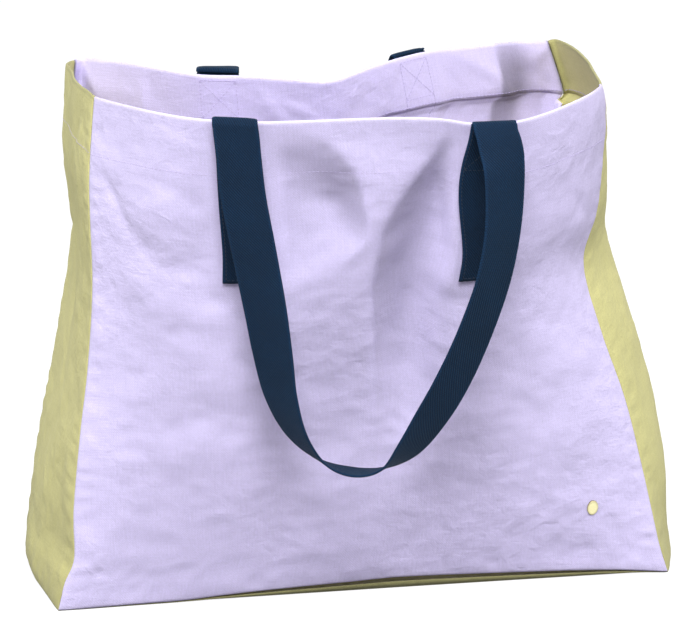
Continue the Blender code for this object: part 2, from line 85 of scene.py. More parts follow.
# From a panel's first and second seam to the middle of the strap beside it
STRAP_INSETS = {"front_panel": (0.142, 0.153), "back_panel": (0.132, 0.144)}

# Corner seams, from the base up to the rim
FRONT_LEFT_SEAM_SHARES = (
    (-0.500, -0.50, 0.000),
    (-0.488, -0.50, 0.055),
    (-0.472, -0.50, 0.105),
    (-0.471, -0.50, 0.200),
    (-0.458, -0.50, 0.350),
    (-0.443, -0.49, 0.485),
    (-0.433, -0.48, 0.640),
    (-0.434, -0.47, 0.830),
    (-0.423, -0.46, 0.990),
)
FRONT_RIGHT_SEAM_SHARES = (
    (0.500, -0.50, 0.000),
    (0.487, -0.50, 0.045),
    (0.476, -0.50, 0.095),
    (0.454, -0.50, 0.205),
    (0.420, -0.50, 0.360),
    (0.377, -0.50, 0.503),
    (0.345, -0.51, 0.640),
    (0.363, -0.53, 0.740),
    (0.370, -0.54, 0.850),
    (0.371, -0.55, 0.945),
    (0.362, -0.57, 0.988),
)
BACK_RIGHT_SEAM_SHARES = (
    (0.500, 0.50, 0.000),
    (0.498, 0.50, 0.060),
    (0.485, 0.52, 0.220),
    (0.417, 0.52, 0.480),
    (0.374, 0.52, 0.700),
    (0.372, 0.52, 0.800),
    (0.373, 0.52, 0.866),
    (0.384, 0.52, 0.889),
    (0.354, 0.50, 0.992),
)
BACK_LEFT_SEAM_SHARES = (
    (-0.514, 0.50, 0.000),
    (-0.523, 0.50, 0.035),
    (-0.513, 0.51, 0.120),
    (-0.490, 0.52, 0.280),
    (-0.457, 0.53, 0.460),
    (-0.433, 0.53, 0.620),
    (-0.428, 0.53, 0.700),
    (-0.437, 0.53, 0.840),
    (-0.427, 0.52, 0.985),
)

# The rim, each side from its first corner seam to its second
FRONT_RIM_SHARES = (
    (-0.402, -0.64, 0.994),
    (-0.365, -0.87, 0.997),
    (-0.327, -1.00, 0.995),
    (-0.283, -1.06, 0.990),
    (-0.200, -1.11, 0.985),
    (-0.065, -1.12, 0.985),
    (0.010, -1.13, 0.985),
    (0.069, -1.15, 0.982),
    (0.110, -1.20, 0.976),
    (0.146, -1.22, 0.975),
    (0.188, -1.20, 0.977),
    (0.229, -1.14, 0.983),
    (0.275, -1.04, 0.991),
    (0.317, -0.90, 0.996),
    (0.346, -0.73, 0.995),
)
RIGHT_RIM_SHARES = (
    (0.368, -0.40, 0.991),
    (0.380, -0.05, 0.994),
    (0.381, 0.25, 0.997),
    (0.371, 0.48, 0.996),
)
BACK_RIM_SHARES = (
    (0.319, 0.43, 0.998),
    (0.265, 0.38, 1.000),
    (0.202, 0.31, 1.000),
    (0.138, 0.21, 1.002),
    (0.079, 0.10, 0.998),
    (0.027, 0.00, 0.990),
    (-0.042, -0.12, 0.977),
    (-0.117, -0.07, 0.982),
    (-0.180, -0.02, 0.985),
    (-0.248, 0.02, 0.988),
    (-0.331, 0.23, 0.995),
    (-0.383, 0.44, 0.990),
    (-0.408, 0.57, 0.985),
)
LEFT_RIM_SHARES = (
    (-0.440, 0.43, 0.985),
    (-0.437, 0.25, 0.986),
    (-0.440, 0.00, 0.989),
    (-0.436, -0.20, 0.991),
    (-0.429, -0.34, 0.992),
)

# The bottom edges, in the same order
FRONT_FOOT_SHARES = (
    (-0.385, -0.50, 0.003),
    (-0.300, -0.50, 0.005),
    (-0.240, -0.50, 0.010),
    (-0.163, -0.50, 0.015),
    (-0.020, -0.50, 0.022),
    (0.060, -0.50, 0.025),
    (0.235, -0.50, 0.020),
    (0.400, -0.50, 0.012),
)
RIGHT_FOOT_SHARES = (
    (0.525, -0.25, 0.006),
    (0.535, 0.00, 0.008),
    (0.525, 0.25, 0.006),
)
BACK_FOOT_SHARES = (
    (0.300, 0.51, 0.012),
    (0.000, 0.51, 0.018),
    (-0.300, 0.51, 0.012),
)
LEFT_FOOT_SHARES = (
    (-0.527, 0.25, 0.006),
    (-0.527, 0.00, 0.008),
    (-0.517, -0.20, 0.005),
)

# How far each side bellies out at mid height, as a share of the bag's depth, and how far the middle of the
# front panel is pulled towards its second seam, as a share of its width
BELLY_SHARES = {"front_panel": 0.04, "right_gusset": 0.11, "back_panel": 0.00, "left_gusset": -0.03}
FRONT_PULL_SHARE = 0.028

# A handle's way from its left fold to its right one. Each row is the share of the way across, the share of
# the drop, how far the loop swells away from the bag as a share of the webbing's width, and how far the
# webbing is turned edge-on, from 0 to 1.
FRONT_LOOP_SHARES = (
    (0.01, 0.06, 0.00, 0.00),
    (0.03, 0.20, 0.02, 0.02),
    (0.07, 0.36, 0.03, 0.10),
    (0.11, 0.52, 0.03, 0.20),
    (0.14, 0.66, 0.02, 0.32),
    (0.17, 0.78, 0.00, 0.48),
    (0.23, 0.89, 0.00, 0.67),
    (0.33, 0.97, 0.00, 0.86),
    (0.45, 1.00, 0.00, 0.93),
    (0.57, 0.99, 0.00, 0.80),
    (0.67, 0.93, 0.05, 0.50),
    (0.76, 0.83, 0.15, 0.34),
    (0.84, 0.72, 0.25, 0.30),
    (0.920, 0.58, 0.35, 0.32),
    (0.990, 0.42, 0.45, 0.34),
    (1.025, 0.27, 0.45, 0.32),
    (1.03, 0.12, 0.35, 0.22),
    (1.015, 0.04, 0.15, 0.08),
)
BACK_LOOP_SHARES = (
    (0.00, 0.06, 0.00, 0.00),
    (0.00, 0.22, 0.00, 0.00),
    (0.02, 0.40, 0.00, 0.05),
    (0.05, 0.56, 0.00, 0.15),
    (0.08, 0.70, 0.00, 0.30),
    (0.14, 0.83, 0.00, 0.52),
    (0.23, 0.93, 0.00, 0.76),
    (0.36, 0.99, 0.00, 0.92),
    (0.50, 1.00, 0.00, 0.95),
    (0.64, 0.99, 0.00, 0.92),
    (0.77, 0.93, 0.00, 0.76),
    (0.86, 0.83, 0.00, 0.52),
    (0.92, 0.70, 0.00, 0.30),
    (0.95, 0.56, 0.00, 0.15),
    (0.98, 0.40, 0.00, 0.05),
    (1.00, 0.22, 0.00, 0.00),
    (1.00, 0.06, 0.00, 0.00),
)

# How a handle's fold stands at each of its two ends: how far its crest rises, how far the webbing's edges
# droop there on the side of the panel's first and second seam, and how far the sewn end below bows towards
# the second seam between its two ends
CRESTS = {
    "front_handle": ((-0.0004, 0.0002, 0.0008, 0.000), (-0.0012, 0.0006, 0.0014, -0.0095)),
    "back_handle": ((-0.0014, 0.0008, 0.0006, 0.000), (0.0012, 0.0008, 0.0010, 0.000)),
}
FOLD_STEPS = 8
BOW_RISE = 1.4
FOLD_EASE = 0.035
DROOP_SHARE = 0.30

# Folds pressed into each side. Each is a line of points: the share across, the share up, how deep it lies in
# millimetres (a ridge is below zero) and how wide it is in millimetres.
FOLDS = {
    "front_panel": (
        (
            (0.04, 0.87, 0, 8),
            (0.06, 0.84, 1.6, 9),
            (0.09, 0.79, 2.4, 11),
            (0.14, 0.73, 2.0, 15),
            (0.19, 0.66, 0, 18),
        ),
        (
            (0.06, 0.66, 0, 18),
            (0.13, 0.52, 1.6, 26),
            (0.17, 0.38, 1.8, 30),
            (0.19, 0.20, 0.8, 30),
            (0.22, 0.08, 0, 24),
        ),
        ((0.84, 0.83, 0, 7), (0.88, 0.785, 1.4, 8), (0.93, 0.74, 0, 8)),
        ((0.70, 0.43, 0, 14), (0.76, 0.39, 0.9, 12), (0.83, 0.33, 0, 14)),
        ((0.78, 0.36, 0, 8), (0.80, 0.31, 0.8, 8), (0.79, 0.25, 0, 8)),
        ((0.80, 0.045, 0, 6), (0.86, 0.055, 1.1, 7), (0.91, 0.06, 0, 7)),
        ((0.91, 0.075, 0, 5), (0.94, 0.05, 1.2, 6), (0.965, 0.02, 0.4, 5)),
        ((0.885, 0.03, 0, 5), (0.92, 0.02, 1.0, 5), (0.95, 0.045, 0, 5)),
        ((0.035, 0.078, 0.2, 4), (0.05, 0.075, 1.4, 5), (0.062, 0.072, 0.2, 4)),
        ((0.20, 0.62, 0, 20), (0.30, 0.50, 1.2, 24), (0.36, 0.36, 1.2, 26), (0.38, 0.20, 0, 24)),
        ((0.60, 0.30, 0, 22), (0.66, 0.20, 1.0, 22), (0.70, 0.10, 0, 20)),
    ),
    "back_panel": (
        (
            (0.970, 0.99, 1.0, 5),
            (0.950, 0.965, 2.4, 6),
            (0.925, 0.938, 2.2, 7),
            (0.90, 0.88, 1.0, 12),
            (0.88, 0.80, 0, 16),
        ),
        (
            (0.825, 1.00, 1.8, 5),
            (0.818, 0.97, 2.6, 6),
            (0.815, 0.93, 2.4, 8),
            (0.81, 0.85, 1.2, 12),
            (0.80, 0.75, 0, 16),
        ),
        ((0.61, 0.995, 0, 6), (0.60, 0.97, 1.2, 7), (0.58, 0.92, 1.4, 9), (0.56, 0.84, 0, 12)),
        ((0.22, 1.00, 0, 8), (0.183, 0.98, 2.2, 9), (0.150, 0.955, 2.0, 9), (0.133, 0.935, 0.6, 8)),
        (
            (0.135, 0.95, 0, 7),
            (0.113, 0.905, 2.6, 9),
            (0.087, 0.833, 2.6, 11),
            (0.07, 0.70, 1.4, 14),
            (0.07, 0.58, 0, 16),
        ),
        (
            (0.45, 0.93, 0, 12),
            (0.40, 0.80, 1.6, 20),
            (0.42, 0.60, 1.8, 26),
            (0.45, 0.40, 0.8, 30),
            (0.46, 0.25, 0, 30),
        ),
        ((0.70, 0.70, 0, 18), (0.66, 0.55, 1.6, 22), (0.60, 0.40, 1.0, 26), (0.56, 0.26, 0, 26)),
        ((0.18, 0.50, 0, 16), (0.24, 0.36, 1.2, 20), (0.26, 0.20, 0, 22)),
        ((0.86, 0.40, 0, 14), (0.80, 0.28, 1.0, 18), (0.78, 0.14, 0, 18)),
        (
            (0.00, 0.84, -5, 30),
            (0.12, 0.85, -5, 34),
            (0.26, 0.85, -5, 34),
            (0.36, 0.84, -3, 34),
            (0.46, 0.83, 0, 34),
        ),
    ),
    "right_gusset": (
        ((0.45, 0.80, 0, 10), (0.52, 0.62, 1.6, 12), (0.50, 0.42, 1.4, 14), (0.46, 0.22, 0, 14)),
        ((0.10, 0.50, 0, 7), (0.20, 0.40, 0.8, 8), (0.26, 0.26, 0, 9)),
        ((0.80, 0.96, 0, 7), (0.74, 0.88, 1.2, 8), (0.72, 0.78, 0, 10)),
    ),
    "left_gusset": (
        ((0.80, 0.98, 0.4, 6), (0.72, 0.92, 1.6, 8), (0.60, 0.85, 1.4, 9), (0.48, 0.76, 0, 10)),
        ((0.40, 0.74, 0, 8), (0.46, 0.56, 1.8, 12), (0.50, 0.36, 1.6, 14), (0.50, 0.18, 0, 12)),
        ((0.00, 0.66, 0.8, 6), (0.14, 0.685, 1.6, 6), (0.30, 0.70, 0, 8)),
        ((0.30, 0.10, 0, 7), (0.46, 0.075, 1.3, 7), (0.66, 0.09, 0, 7)),
    ),
}

# Tucks: one-sided folds, whose cloth drops away on one side of an edge and comes back slowly. Each has the
# angle in degrees that it drops towards, how much painted shade darkens its steep side, how many
# times the way to its deepest place it takes to come back, and its edge. The rows of an edge are the share
# across, the share up, the depth in millimetres (below zero outwards) and the way to the deepest place in
# millimetres.
TUCKS = {
    "front_panel": (
        (
            225,
            0.40,
            4.5,
            (
                (0.330, 1.010, 0, 44),
                (0.380, 0.990, 2, 46),
                (0.425, 0.962, 5, 46),
                (0.455, 0.925, 7.5, 42),
                (0.473, 0.885, 8, 34),
                (0.482, 0.840, 7, 25),
                (0.487, 0.795, 4, 16),
                (0.488, 0.760, 0, 10),
            ),
        ),
        (
            0,
            0.40,
            2.3,
            (
                (0.488, 0.32, 0, 26),
                (0.490, 0.42, 6, 28),
                (0.494, 0.52, 13, 30),
                (0.498, 0.60, 16, 32),
                (0.502, 0.69, 15, 34),
                (0.507, 0.77, 13, 36),
                (0.531, 0.83, 12, 35),
                (0.564, 0.89, 12, 33),
                (0.590, 0.94, 8, 31),
                (0.606, 0.99, 1, 30),
            ),
        ),
    ),
    "back_panel": (
        (
            180,
            0.80,
            2.6,
            (
                (0.150, 0.70, 0, 24),
                (0.138, 0.80, -3, 26),
                (0.130, 0.88, -5, 28),
                (0.122, 0.94, -5, 28),
                (0.118, 1.00, -2, 28),
            ),
        ),
    ),
}

# The crumples of the washed cloth: the lengths of their waves, in metres, and how high they are beside the
# long ones
LONG_CRUMPLES = 0.075
SHORT_CRUMPLES = 0.034
SHARP_CRUMPLES = 0.028
FINE_CRUMPLES = 0.011
SHORT_CRUMPLE_SHARE = 0.45
SHARP_CRUMPLE_SHARE = 0.55
FINE_CRUMPLE_SHARE = 0.12

# The gathers beside the seams: their lengths, how far and over what length these wander, and where they lie
SEAM_GATHERS = 0.017
FOOT_GATHERS = 0.019
GATHER_WANDERING = 2.2
WANDERING_LENGTH = 0.06
GATHERS_FROM_EDGE = 0.006
SEAM_GATHER_REACH = 0.009
FOOT_GATHER_REACH = 0.010

# Where the cloth is held flat: from a seam, from the foot, from the rim, beside a strap and under its end,
# and the share of its relief that is left there
HELD_BY_SEAM = 0.08
HELD_BY_RIM = 0.25
SEAM_HOLD = 0.012
FOOT_HOLD = 0.014
RIM_HOLD = (0.002, 0.030)
STRAP_HOLD = (0.018, 0.034)
STRAP_END_HOLD = (0.002, 0.022)
STRAP_FLATNESS = 0.97

# The base: how many times coarser its grid is, how high and how long its soft bumps are, and how far from its
# edges they begin
BASE_GRID_TIMES = 1.6
BASE_EDGE_TIMES = 1.5
BASE_BUMPS = 0.0012
BASE_BUMP_LENGTH = 0.07
BASE_BUMPS_FROM = (0.008, 0.03)

# How far the cloth rolls inwards at its edges, and over what way
SEAM_ROLL = 0.0011
FOOT_ROLL = 0.0009
ROLL_REACH = 0.0022

# How far wear and painted shade reach on the unfolded cloth, in metres, and how strong they are, from 0 to 1
RIM_WEAR_REACH = 0.0022
SEAM_WEAR_REACH = 0.0016
FOOT_WEAR_REACH = 0.0025
EDGE_WEAR = 0.6
SEAM_SHADE_REACH = 0.0024
GUSSET_SHADE_REACH = 0.010
GUSSET_SHADE = 0.45
RIM_SHADE = 0.6
LOW_SHADE = 0.30
LOW_SHADE_HEIGHT = 0.09

# How the hem's fold turns, in degrees, how far the hem sinks at its lower edge, and over what way
HEM_TURNS = (-60, -20, 20, 60)
HEM_TURN_RISE = 0.0006
HEM_SINK = 0.0005
HEM_SINK_REACH = 0.006

# The turned-in seam allowances: the shares of their width where they have points, and how far from the foot
# and from the hem they end, as shares of their width
ALLOWANCE_SHARES = np.array([0.35, 1.0])
ALLOWANCE_FROM_FOOT = 1.5
ALLOWANCE_FROM_HEM = 0.4

# One stitch from end to end: the share of its length, the share of the thread's thickness and how far it
# rises, as a share of half the thickness
STITCH_ROWS = (
    (0.06, 0.35, -0.9),
    (0.16, 0.85, -0.15),
    (0.5, 1.0, 0.18),
    (0.84, 0.85, -0.15),
    (0.94, 0.35, -0.9),
)
THREAD_SIDES = 6
THREAD_CLEARANCE = 0.0001
HEM_STITCH_RISE = 0.0028
HEM_STITCH_END = 0.0016
HEM_STITCH_STEP = 0.002
STITCH_FROM_STRAP = 0.001
STITCH_INSET = 0.0025
STITCH_FROM_RIM = 0.0012
STITCH_STEPS = 40

# Half the webbing's section: the share of its width from one edge to the other, and of its half thickness
WEBBING_SECTION = (
    (0.000, 0.00),
    (0.012, 0.55),
    (0.035, 0.92),
    (0.080, 1.00),
    (0.160, 0.98),
    (0.250, 0.97),
    (0.500, 1.00),
    (0.750, 0.97),
    (0.840, 0.98),
    (0.920, 1.00),
    (0.965, 0.92),
    (0.988, 0.55),
    (1.000, 0.00),
)
SEWN_STEPS = 50
BULGE_FADES_FROM = 0.95

# The weaves: the canvas's threads, how slubs are stretched along and across a thread, and the webbing's twill
CANVAS_PITCH = 0.00095
SLUB_LONG = 55
SLUB_SHORT = 760
WARP_PLACE = 3.7
TWILL_SLANT = 1.45
TWILL_LENGTH = 0.0026
YARN_LENGTH = 0.0011
PICK_LENGTH = 0.0012
SELVEDGE_REACH = (0.0012, 0.0022)

# The badge: its size, its place from the front panel's second seam and its foot, and its rows from the back
# to the middle of its face, each the share of its size, the share of its thickness and how much painted shade
# darkens it
BADGE_WIDTH = 0.009
BADGE_HEIGHT = 0.012
BADGE_THICKNESS = 0.0012
BADGE_FROM_SEAM = 0.059
BADGE_RISE = 0.058
BADGE_SIDES = 64
BADGE_ROWS = (
    (1.00, -0.50, 1.0),
    (1.00, 0.10, 1.0),
    (0.985, 0.32, 0.9),
    (0.94, 0.47, 0.55),
    (0.88, 0.52, 0.15),
    (0.80, 0.44, 0.35),
    (0.70, 0.44, 0.0),
    (0.45, 0.52, 0.0),
    (0.20, 0.56, 0.0),
)

# The lamps: the place, what it points at, its size, which power it has and how many times that power
LAMPS = (
    ("key_lamp", (-0.35, -2.1, 2.5), (0.0, 0.0, 0.15), 1.2, "key_power", 1),
    ("right_lamp", (2.0, -1.5, 1.7), (0.0, 0.0, 0.2), 1.0, "side_power", 4.2),
    ("left_lamp", (-1.2, -0.6, 1.3), (-0.2, 0.0, 0.3), 0.8, "side_power", 1.5),
)
CAMERA_PLACE = (-0.407, -2.302, 0.873)
CAMERA_LOWERED = 16.1
CAMERA_TURNED = -10
SENSOR_WIDTH = 36
FLOOR_SIZE = 6
FLOOR_COLOR = (0.20, 0.20, 0.20, 1)
FLOOR_LIFT = 0.87

CURVE_STEPS = 24
SLOPE_SHARE = 0.01
EDGE_ON = math.radians(90)
REACH_STEPS = 60
LOOP_STEPS = 9
WAVES = 36
TUCK_ROUNDING = 0.10
TUCK_SHADE_STARTS = (-0.05, 0.12)
TUCK_SHADE_ENDS = (0.5, 1.3)
MILLIMETRE = 0.001
UP = np.array((0, 0, 1.0))


class TOTE_PG_sizes(PropertyGroup):
    """The cloth, the webbing and the thread, as a maker would buy and sew them"""

    cloth_thickness: FloatProperty(
        name="Canvas", description="Thickness of the canvas", default=0.0009, unit="LENGTH"
    )
    cloth_grid: FloatProperty(
        name="Cloth Grid",
        description="Distance between the points of the cloth",
        default=0.0027,
        unit="LENGTH",
    )
    hem_depth: FloatProperty(
        name="Hem Depth",
        description="How far the hem is folded down inside the mouth",
        default=0.045,
        unit="LENGTH",
    )
    seam_allowance: FloatProperty(
        name="Seam Allowance",
        description="Width of the edges turned in at a seam",
        default=0.010,
        unit="LENGTH",
    )
    webbing_width: FloatProperty(
        name="Webbing Width", description="Width of the handle webbing", default=0.032, unit="LENGTH"
    )
    webbing_thickness: FloatProperty(
        name="Webbing", description="Thickness of the handle webbing", default=0.0018, unit="LENGTH"
    )
    stitch_length: FloatProperty(
        name="Stitch Length",
        description="Length of one stitch, from hole to hole",
        default=0.0032,
        unit="LENGTH",
    )
    thread_thickness: FloatProperty(
        name="Thread", description="Thickness of the sewing thread", default=0.0006, unit="LENGTH"
    )
    cross_box_height: FloatProperty(
        name="Cross Box", description="Height of the stitched box with a cross", default=0.032, unit="LENGTH"
    )
    crumple: FloatProperty(
        name="Crumple",
        description="Height of the soft unevenness of the washed cloth",
        default=0.00055,
        unit="LENGTH",
    )
    pucker: FloatProperty(
        name="Pucker", description="Height of the gathers beside the seams", default=0.0005, unit="LENGTH"
    )


class TOTE_PG_colors(PropertyGroup):
    """The colours of the bag's materials"""

    lilac: FloatVectorProperty(
        name="Lilac Canvas",
        description="Colour of the two wide panels",
        default=(0.62, 0.56, 0.83),
        subtype="COLOR",
    )
    olive: FloatVectorProperty(
        name="Olive Canvas",
        description="Colour of the gussets and the base",
        default=(0.56, 0.53, 0.225),
        subtype="COLOR",
    )
    navy: FloatVectorProperty(
        name="Navy Webbing",
        description="Colour of the handles",
        default=(0.003, 0.010, 0.038),
        subtype="COLOR",
    )
    navy_thread: FloatVectorProperty(
        name="Navy Thread",
        description="Colour of the thread on the handles",
        default=(0.004, 0.012, 0.032),
        subtype="COLOR",
    )
    lilac_thread: FloatVectorProperty(
        name="Lilac Thread",
        description="Colour of the hem's thread",
        default=(0.48, 0.42, 0.66),
        subtype="COLOR",
    )
    gold: FloatVectorProperty(
        name="Pale Gold", description="Colour of the badge", default=(0.83, 0.78, 0.45), subtype="COLOR"
    )


class TOTE_PG_stage(PropertyGroup):
    """The studio the bag stands in"""

    world_light: FloatProperty(
        name="Room Light", description="Strength of the even light all round", default=0.42
    )
    key_power: FloatProperty(
        name="Key Lamp", description="Power of the large lamp above the front", default=97.0, unit="POWER"
    )
    side_power: FloatProperty(
        name="Side Lamps", description="Power of the soft lamps on both sides", default=8.0, unit="POWER"
    )
    lens: FloatProperty(name="Lens", description="Focal length in millimetres", default=161.0)
    seed: IntProperty(name="Seed", description="Which crumples the cloth gets", default=11)


def sizes():
    return bpy.context.scene.tote_sizes


def colors():
    return bpy.context.scene.tote_colors


# The lines and surfaces that the cloth follows


def real_places(shares):
    return [Vector(place) for place in np.array(shares) * BAG_SIZES]


def smooth_line(points, steps=CURVE_STEPS):
    """Close points on a smooth curve through the given ones."""
    guided = [points[0]] + list(points) + [points[-1]]
    line = [points[0]]
    for before, start, end, after in zip(guided, guided[1:], guided[2:], guided[3:]):
        leaving = start + (end - before) / 6
        arriving = end - (after - start) / 6
        line += interpolate_bezier(start, leaving, arriving, end, steps + 1)[1:]
    return line


def lengths_along(points):
    """How far each point of a line is from its start."""
    return np.concatenate(((0,), np.cumsum(np.linalg.norm(np.diff(points, axis=0), axis=1))))


def read_along(targets, lengths, points):
    """The points of a line at the given lengths."""
    return np.stack([np.interp(targets, lengths, points[:, axis]) for axis in range(3)], axis=-1)


class Line:
    """A line of close points, read at shares of its length."""

    def __init__(self, points):
        self.points = np.array([tuple(point) for point in points])
        self.lengths = lengths_along(self.points)

    def length(self):
        return float(self.lengths[-1])

    def at(self, share):
        return read_along(np.asarray(share, float) * self.length(), self.lengths, self.points)

    def end(self, share):
        return Vector(self.at(share))


def unit(vectors):
    return vectors / np.linalg.norm(vectors, axis=-1, keepdims=True)


def mixed(start, end, share):
    return start + (end - start) * np.asarray(share)[..., None]


class Side:
    """A cloth side stretched between its foot, its rim and the two seams beside it."""

    def __init__(self, name, foot, rim, first_seam, second_seam, pull):
        self.name = name
        self.foot = foot
        self.rim = rim
        self.first_seam = first_seam
        self.second_seam = second_seam
        self.belly = BELLY_SHARES[name] * BAG_DEPTH
        self.pull = pull
        self.width = rim.length()

    def flat_place(self, across, up):
        across = across + self.pull * np.sin(np.pi * across) * np.sin(np.pi * up)
        between_ends = mixed(self.foot.at(across), self.rim.at(across), up)
        between_seams = mixed(self.first_seam.at(up), self.second_seam.at(up), across)
        low = mixed(self.foot.at(0), self.foot.at(1), across)
        high = mixed(self.rim.at(0), self.rim.at(1), across)
        return between_ends + between_seams - mixed(low, high, up)

    def facing(self, across, up):
        """The outward direction."""
        left = self.flat_place(np.maximum(across - SLOPE_SHARE, 0), up)
        right = self.flat_place(np.minimum(across + SLOPE_SHARE, 1), up)
        under = self.flat_place(across, np.maximum(up - SLOPE_SHARE, 0))
        over = self.flat_place(across, np.minimum(up + SLOPE_SHARE, 1))
        return unit(np.cross(right - left, over - under))

    def place(self, across, up, outward=0):
        """The place on the cloth's middle surface before it is crumpled, or that far outside it."""
        across, up = np.broadcast_arrays(np.asarray(across, float), np.asarray(up, float))
        swell = self.belly * np.sin(np.pi * across) * np.sin(np.pi * up)
        return self.flat_place(across, up) + self.facing(across, up) * np.asarray(swell + outward)[..., None]

    def cloth(self, across, up, outward=0):
        """The place on the crumpled cloth, or that far outside it."""
        across, up = np.broadcast_arrays(np.asarray(across, float), np.asarray(up, float))
        return self.place(across, up, relief(self, across, up) + outward)


def edge(first, shares, last):
    return Line(smooth_line([first] + real_places(shares) + [last]))


def cloth_sides():
    """The four upright sides in order round the bag: front, right, back and left."""
    seams = [
        Line(smooth_line(real_places(shares)))
        for shares in (
            FRONT_LEFT_SEAM_SHARES,
            FRONT_RIGHT_SEAM_SHARES,
            BACK_RIGHT_SEAM_SHARES,
            BACK_LEFT_SEAM_SHARES,
        )
    ]
    rows = (
        ("front_panel", FRONT_FOOT_SHARES, FRONT_RIM_SHARES, FRONT_PULL_SHARE),
        ("right_gusset", RIGHT_FOOT_SHARES, RIGHT_RIM_SHARES, 0),
        ("back_panel", BACK_FOOT_SHARES, BACK_RIM_SHARES, 0),
        ("left_gusset", LEFT_FOOT_SHARES, LEFT_RIM_SHARES, 0),
    )
    sides = []
    for (name, foot, rim, pull), first, second in zip(rows, seams, seams[1:] + seams[:1]):
        foot_edge = edge(first.end(0), foot, second.end(0))
        rim_edge = edge(first.end(1), rim, second.end(1))
        sides.append(Side(name, foot_edge, rim_edge, first, second, pull))
    return sides


SIDES = cloth_sides()
FRONT, RIGHT, BACK, LEFT = SIDES


def height_share(distance_from_rim):
    return 1 - distance_from_rim / BAG_HEIGHT


def strap_centres(side):
    """The shares across a panel of its two strap centres."""
    first, second = STRAP_INSETS[side.name]
    return first / side.width, 1 - second / side.width


def bowed(side, centre, bow, ups):
    """The shares across a panel of the middle of a sewn end, at the given heights."""
    low = height_share(SEWN_LENGTH)
    way_up = np.clip((ups - low) / (1 - low), 0, 1)
    return centre + bow / side.width * np.sin(np.pi * way_up**BOW_RISE)


def strap_middles(side, ups):
    """The middles of both sewn ends of a panel, as shares across it at the given heights."""
    crests = CRESTS[side.name.replace("panel", "handle")]
    return [bowed(side, centre, crest[3], ups) for centre, crest in zip(strap_centres(side), crests)]


# The crumples of the washed cloth


def unevenness(x, y, wavelength, seed):
    """Seeded soft unevenness of about that wavelength, mostly from -1 to 1."""
    chance = np.random.default_rng(seed)
    total = np.zeros_like(x)
    for _ in range(WAVES):
        turn, phase = chance.uniform(0, 2 * np.pi, 2)
        waves = 2 * np.pi / (wavelength * chance.uniform(0.7, 1.5))
        total += np.sin(waves * (x * np.cos(turn) + y * np.sin(turn)) + phase)
    return total / math.sqrt(WAVES)


def fold_relief(x, y, side, points):
    """How far a fold brings the cloth outwards at places given in metres along and up the side."""
    rows = np.array(points, float)
    line = rows[:, :2] * (side.width, BAG_HEIGHT)
    nearest = np.full_like(x, np.inf)
    depth = np.zeros_like(x)
    width = np.ones_like(x)
    for start, end, (_, _, depth_a, width_a), (_, _, depth_b, width_b) in zip(line, line[1:], rows, rows[1:]):
        way = end - start
        along = np.clip(((x - start[0]) * way[0] + (y - start[1]) * way[1]) / (way @ way), 0, 1)
        away = np.hypot(x - start[0] - along * way[0], y - start[1] - along * way[1])
        closer = away < nearest
        nearest = np.where(closer, away, nearest)
        depth = np.where(closer, depth_a + (depth_b - depth_a) * along, depth)
        width = np.where(closer, width_a + (width_b - width_a) * along, width)
    spread = nearest / (width * MILLIMETRE)
    return -depth * MILLIMETRE * np.exp(-(np.sqrt(1 + 4 * spread**2) - 1))


def tuck_places(x, y, side, drops_towards, points):
    """How far past a tuck's edge places are, as a share of the way to its deepest place, and its depth."""
    edge = smooth_line([Vector((across * side.width, up * BAG_HEIGHT, 0)) for across, up, _, _ in points])
    shape = smooth_line([Vector((depth, width, 0)) for _, _, depth, width in points])
    spots = np.array([tuple(spot)[:2] for spot in edge])
    depths, widths = np.array([tuple(pair)[:2] for pair in shape]).T * MILLIMETRE
    angle = math.radians(drops_towards)
    away = np.array((math.cos(angle), math.sin(angle)))
    along = np.array((-math.sin(angle), math.cos(angle)))
    order = np.argsort(spots @ along)
    reached = x * along[0] + y * along[1]
    edge_here, depth, width = (
        np.interp(reached, (spots @ along)[order], values[order]) for values in (spots @ away, depths, widths)
    )
    return (x * away[0] + y * away[1] - edge_here) / width, depth


def tuck_relief(x, y, side, tuck):
    drops_towards, _, comes_back, rows = tuck
    past_edge, depth = tuck_places(x, y, side, drops_towards, rows)
    rounded = (past_edge + np.sqrt(past_edge**2 + TUCK_ROUNDING**2)) / 2
    drop = np.sin(np.pi / 2 * np.clip(rounded, 0, 1))
    return -depth * drop * (1 - smooth_step(past_edge, 1, comes_back))


def tuck_shade(side, x, y):
    """How much painted shade darkens the steep side of a panel's tucks, from 0 to 1."""
    shade = np.zeros_like(x)
    for drops_towards, darker, _, rows in TUCKS.get(side.name, ()):
        past_edge, depth = tuck_places(x, y, side, drops_towards, rows)
        steep = smooth_step(past_edge, *TUCK_SHADE_STARTS) * (1 - smooth_step(past_edge, *TUCK_SHADE_ENDS))
        deepest = max(abs(row[2]) for row in rows) * MILLIMETRE
        shade = np.maximum(shade, darker * steep * np.abs(depth) / deepest)
    return shade


def smooth_step(value, low, high):
    share = np.clip((value - low) / (high - low), 0, 1)
    return share * share * (3 - 2 * share)


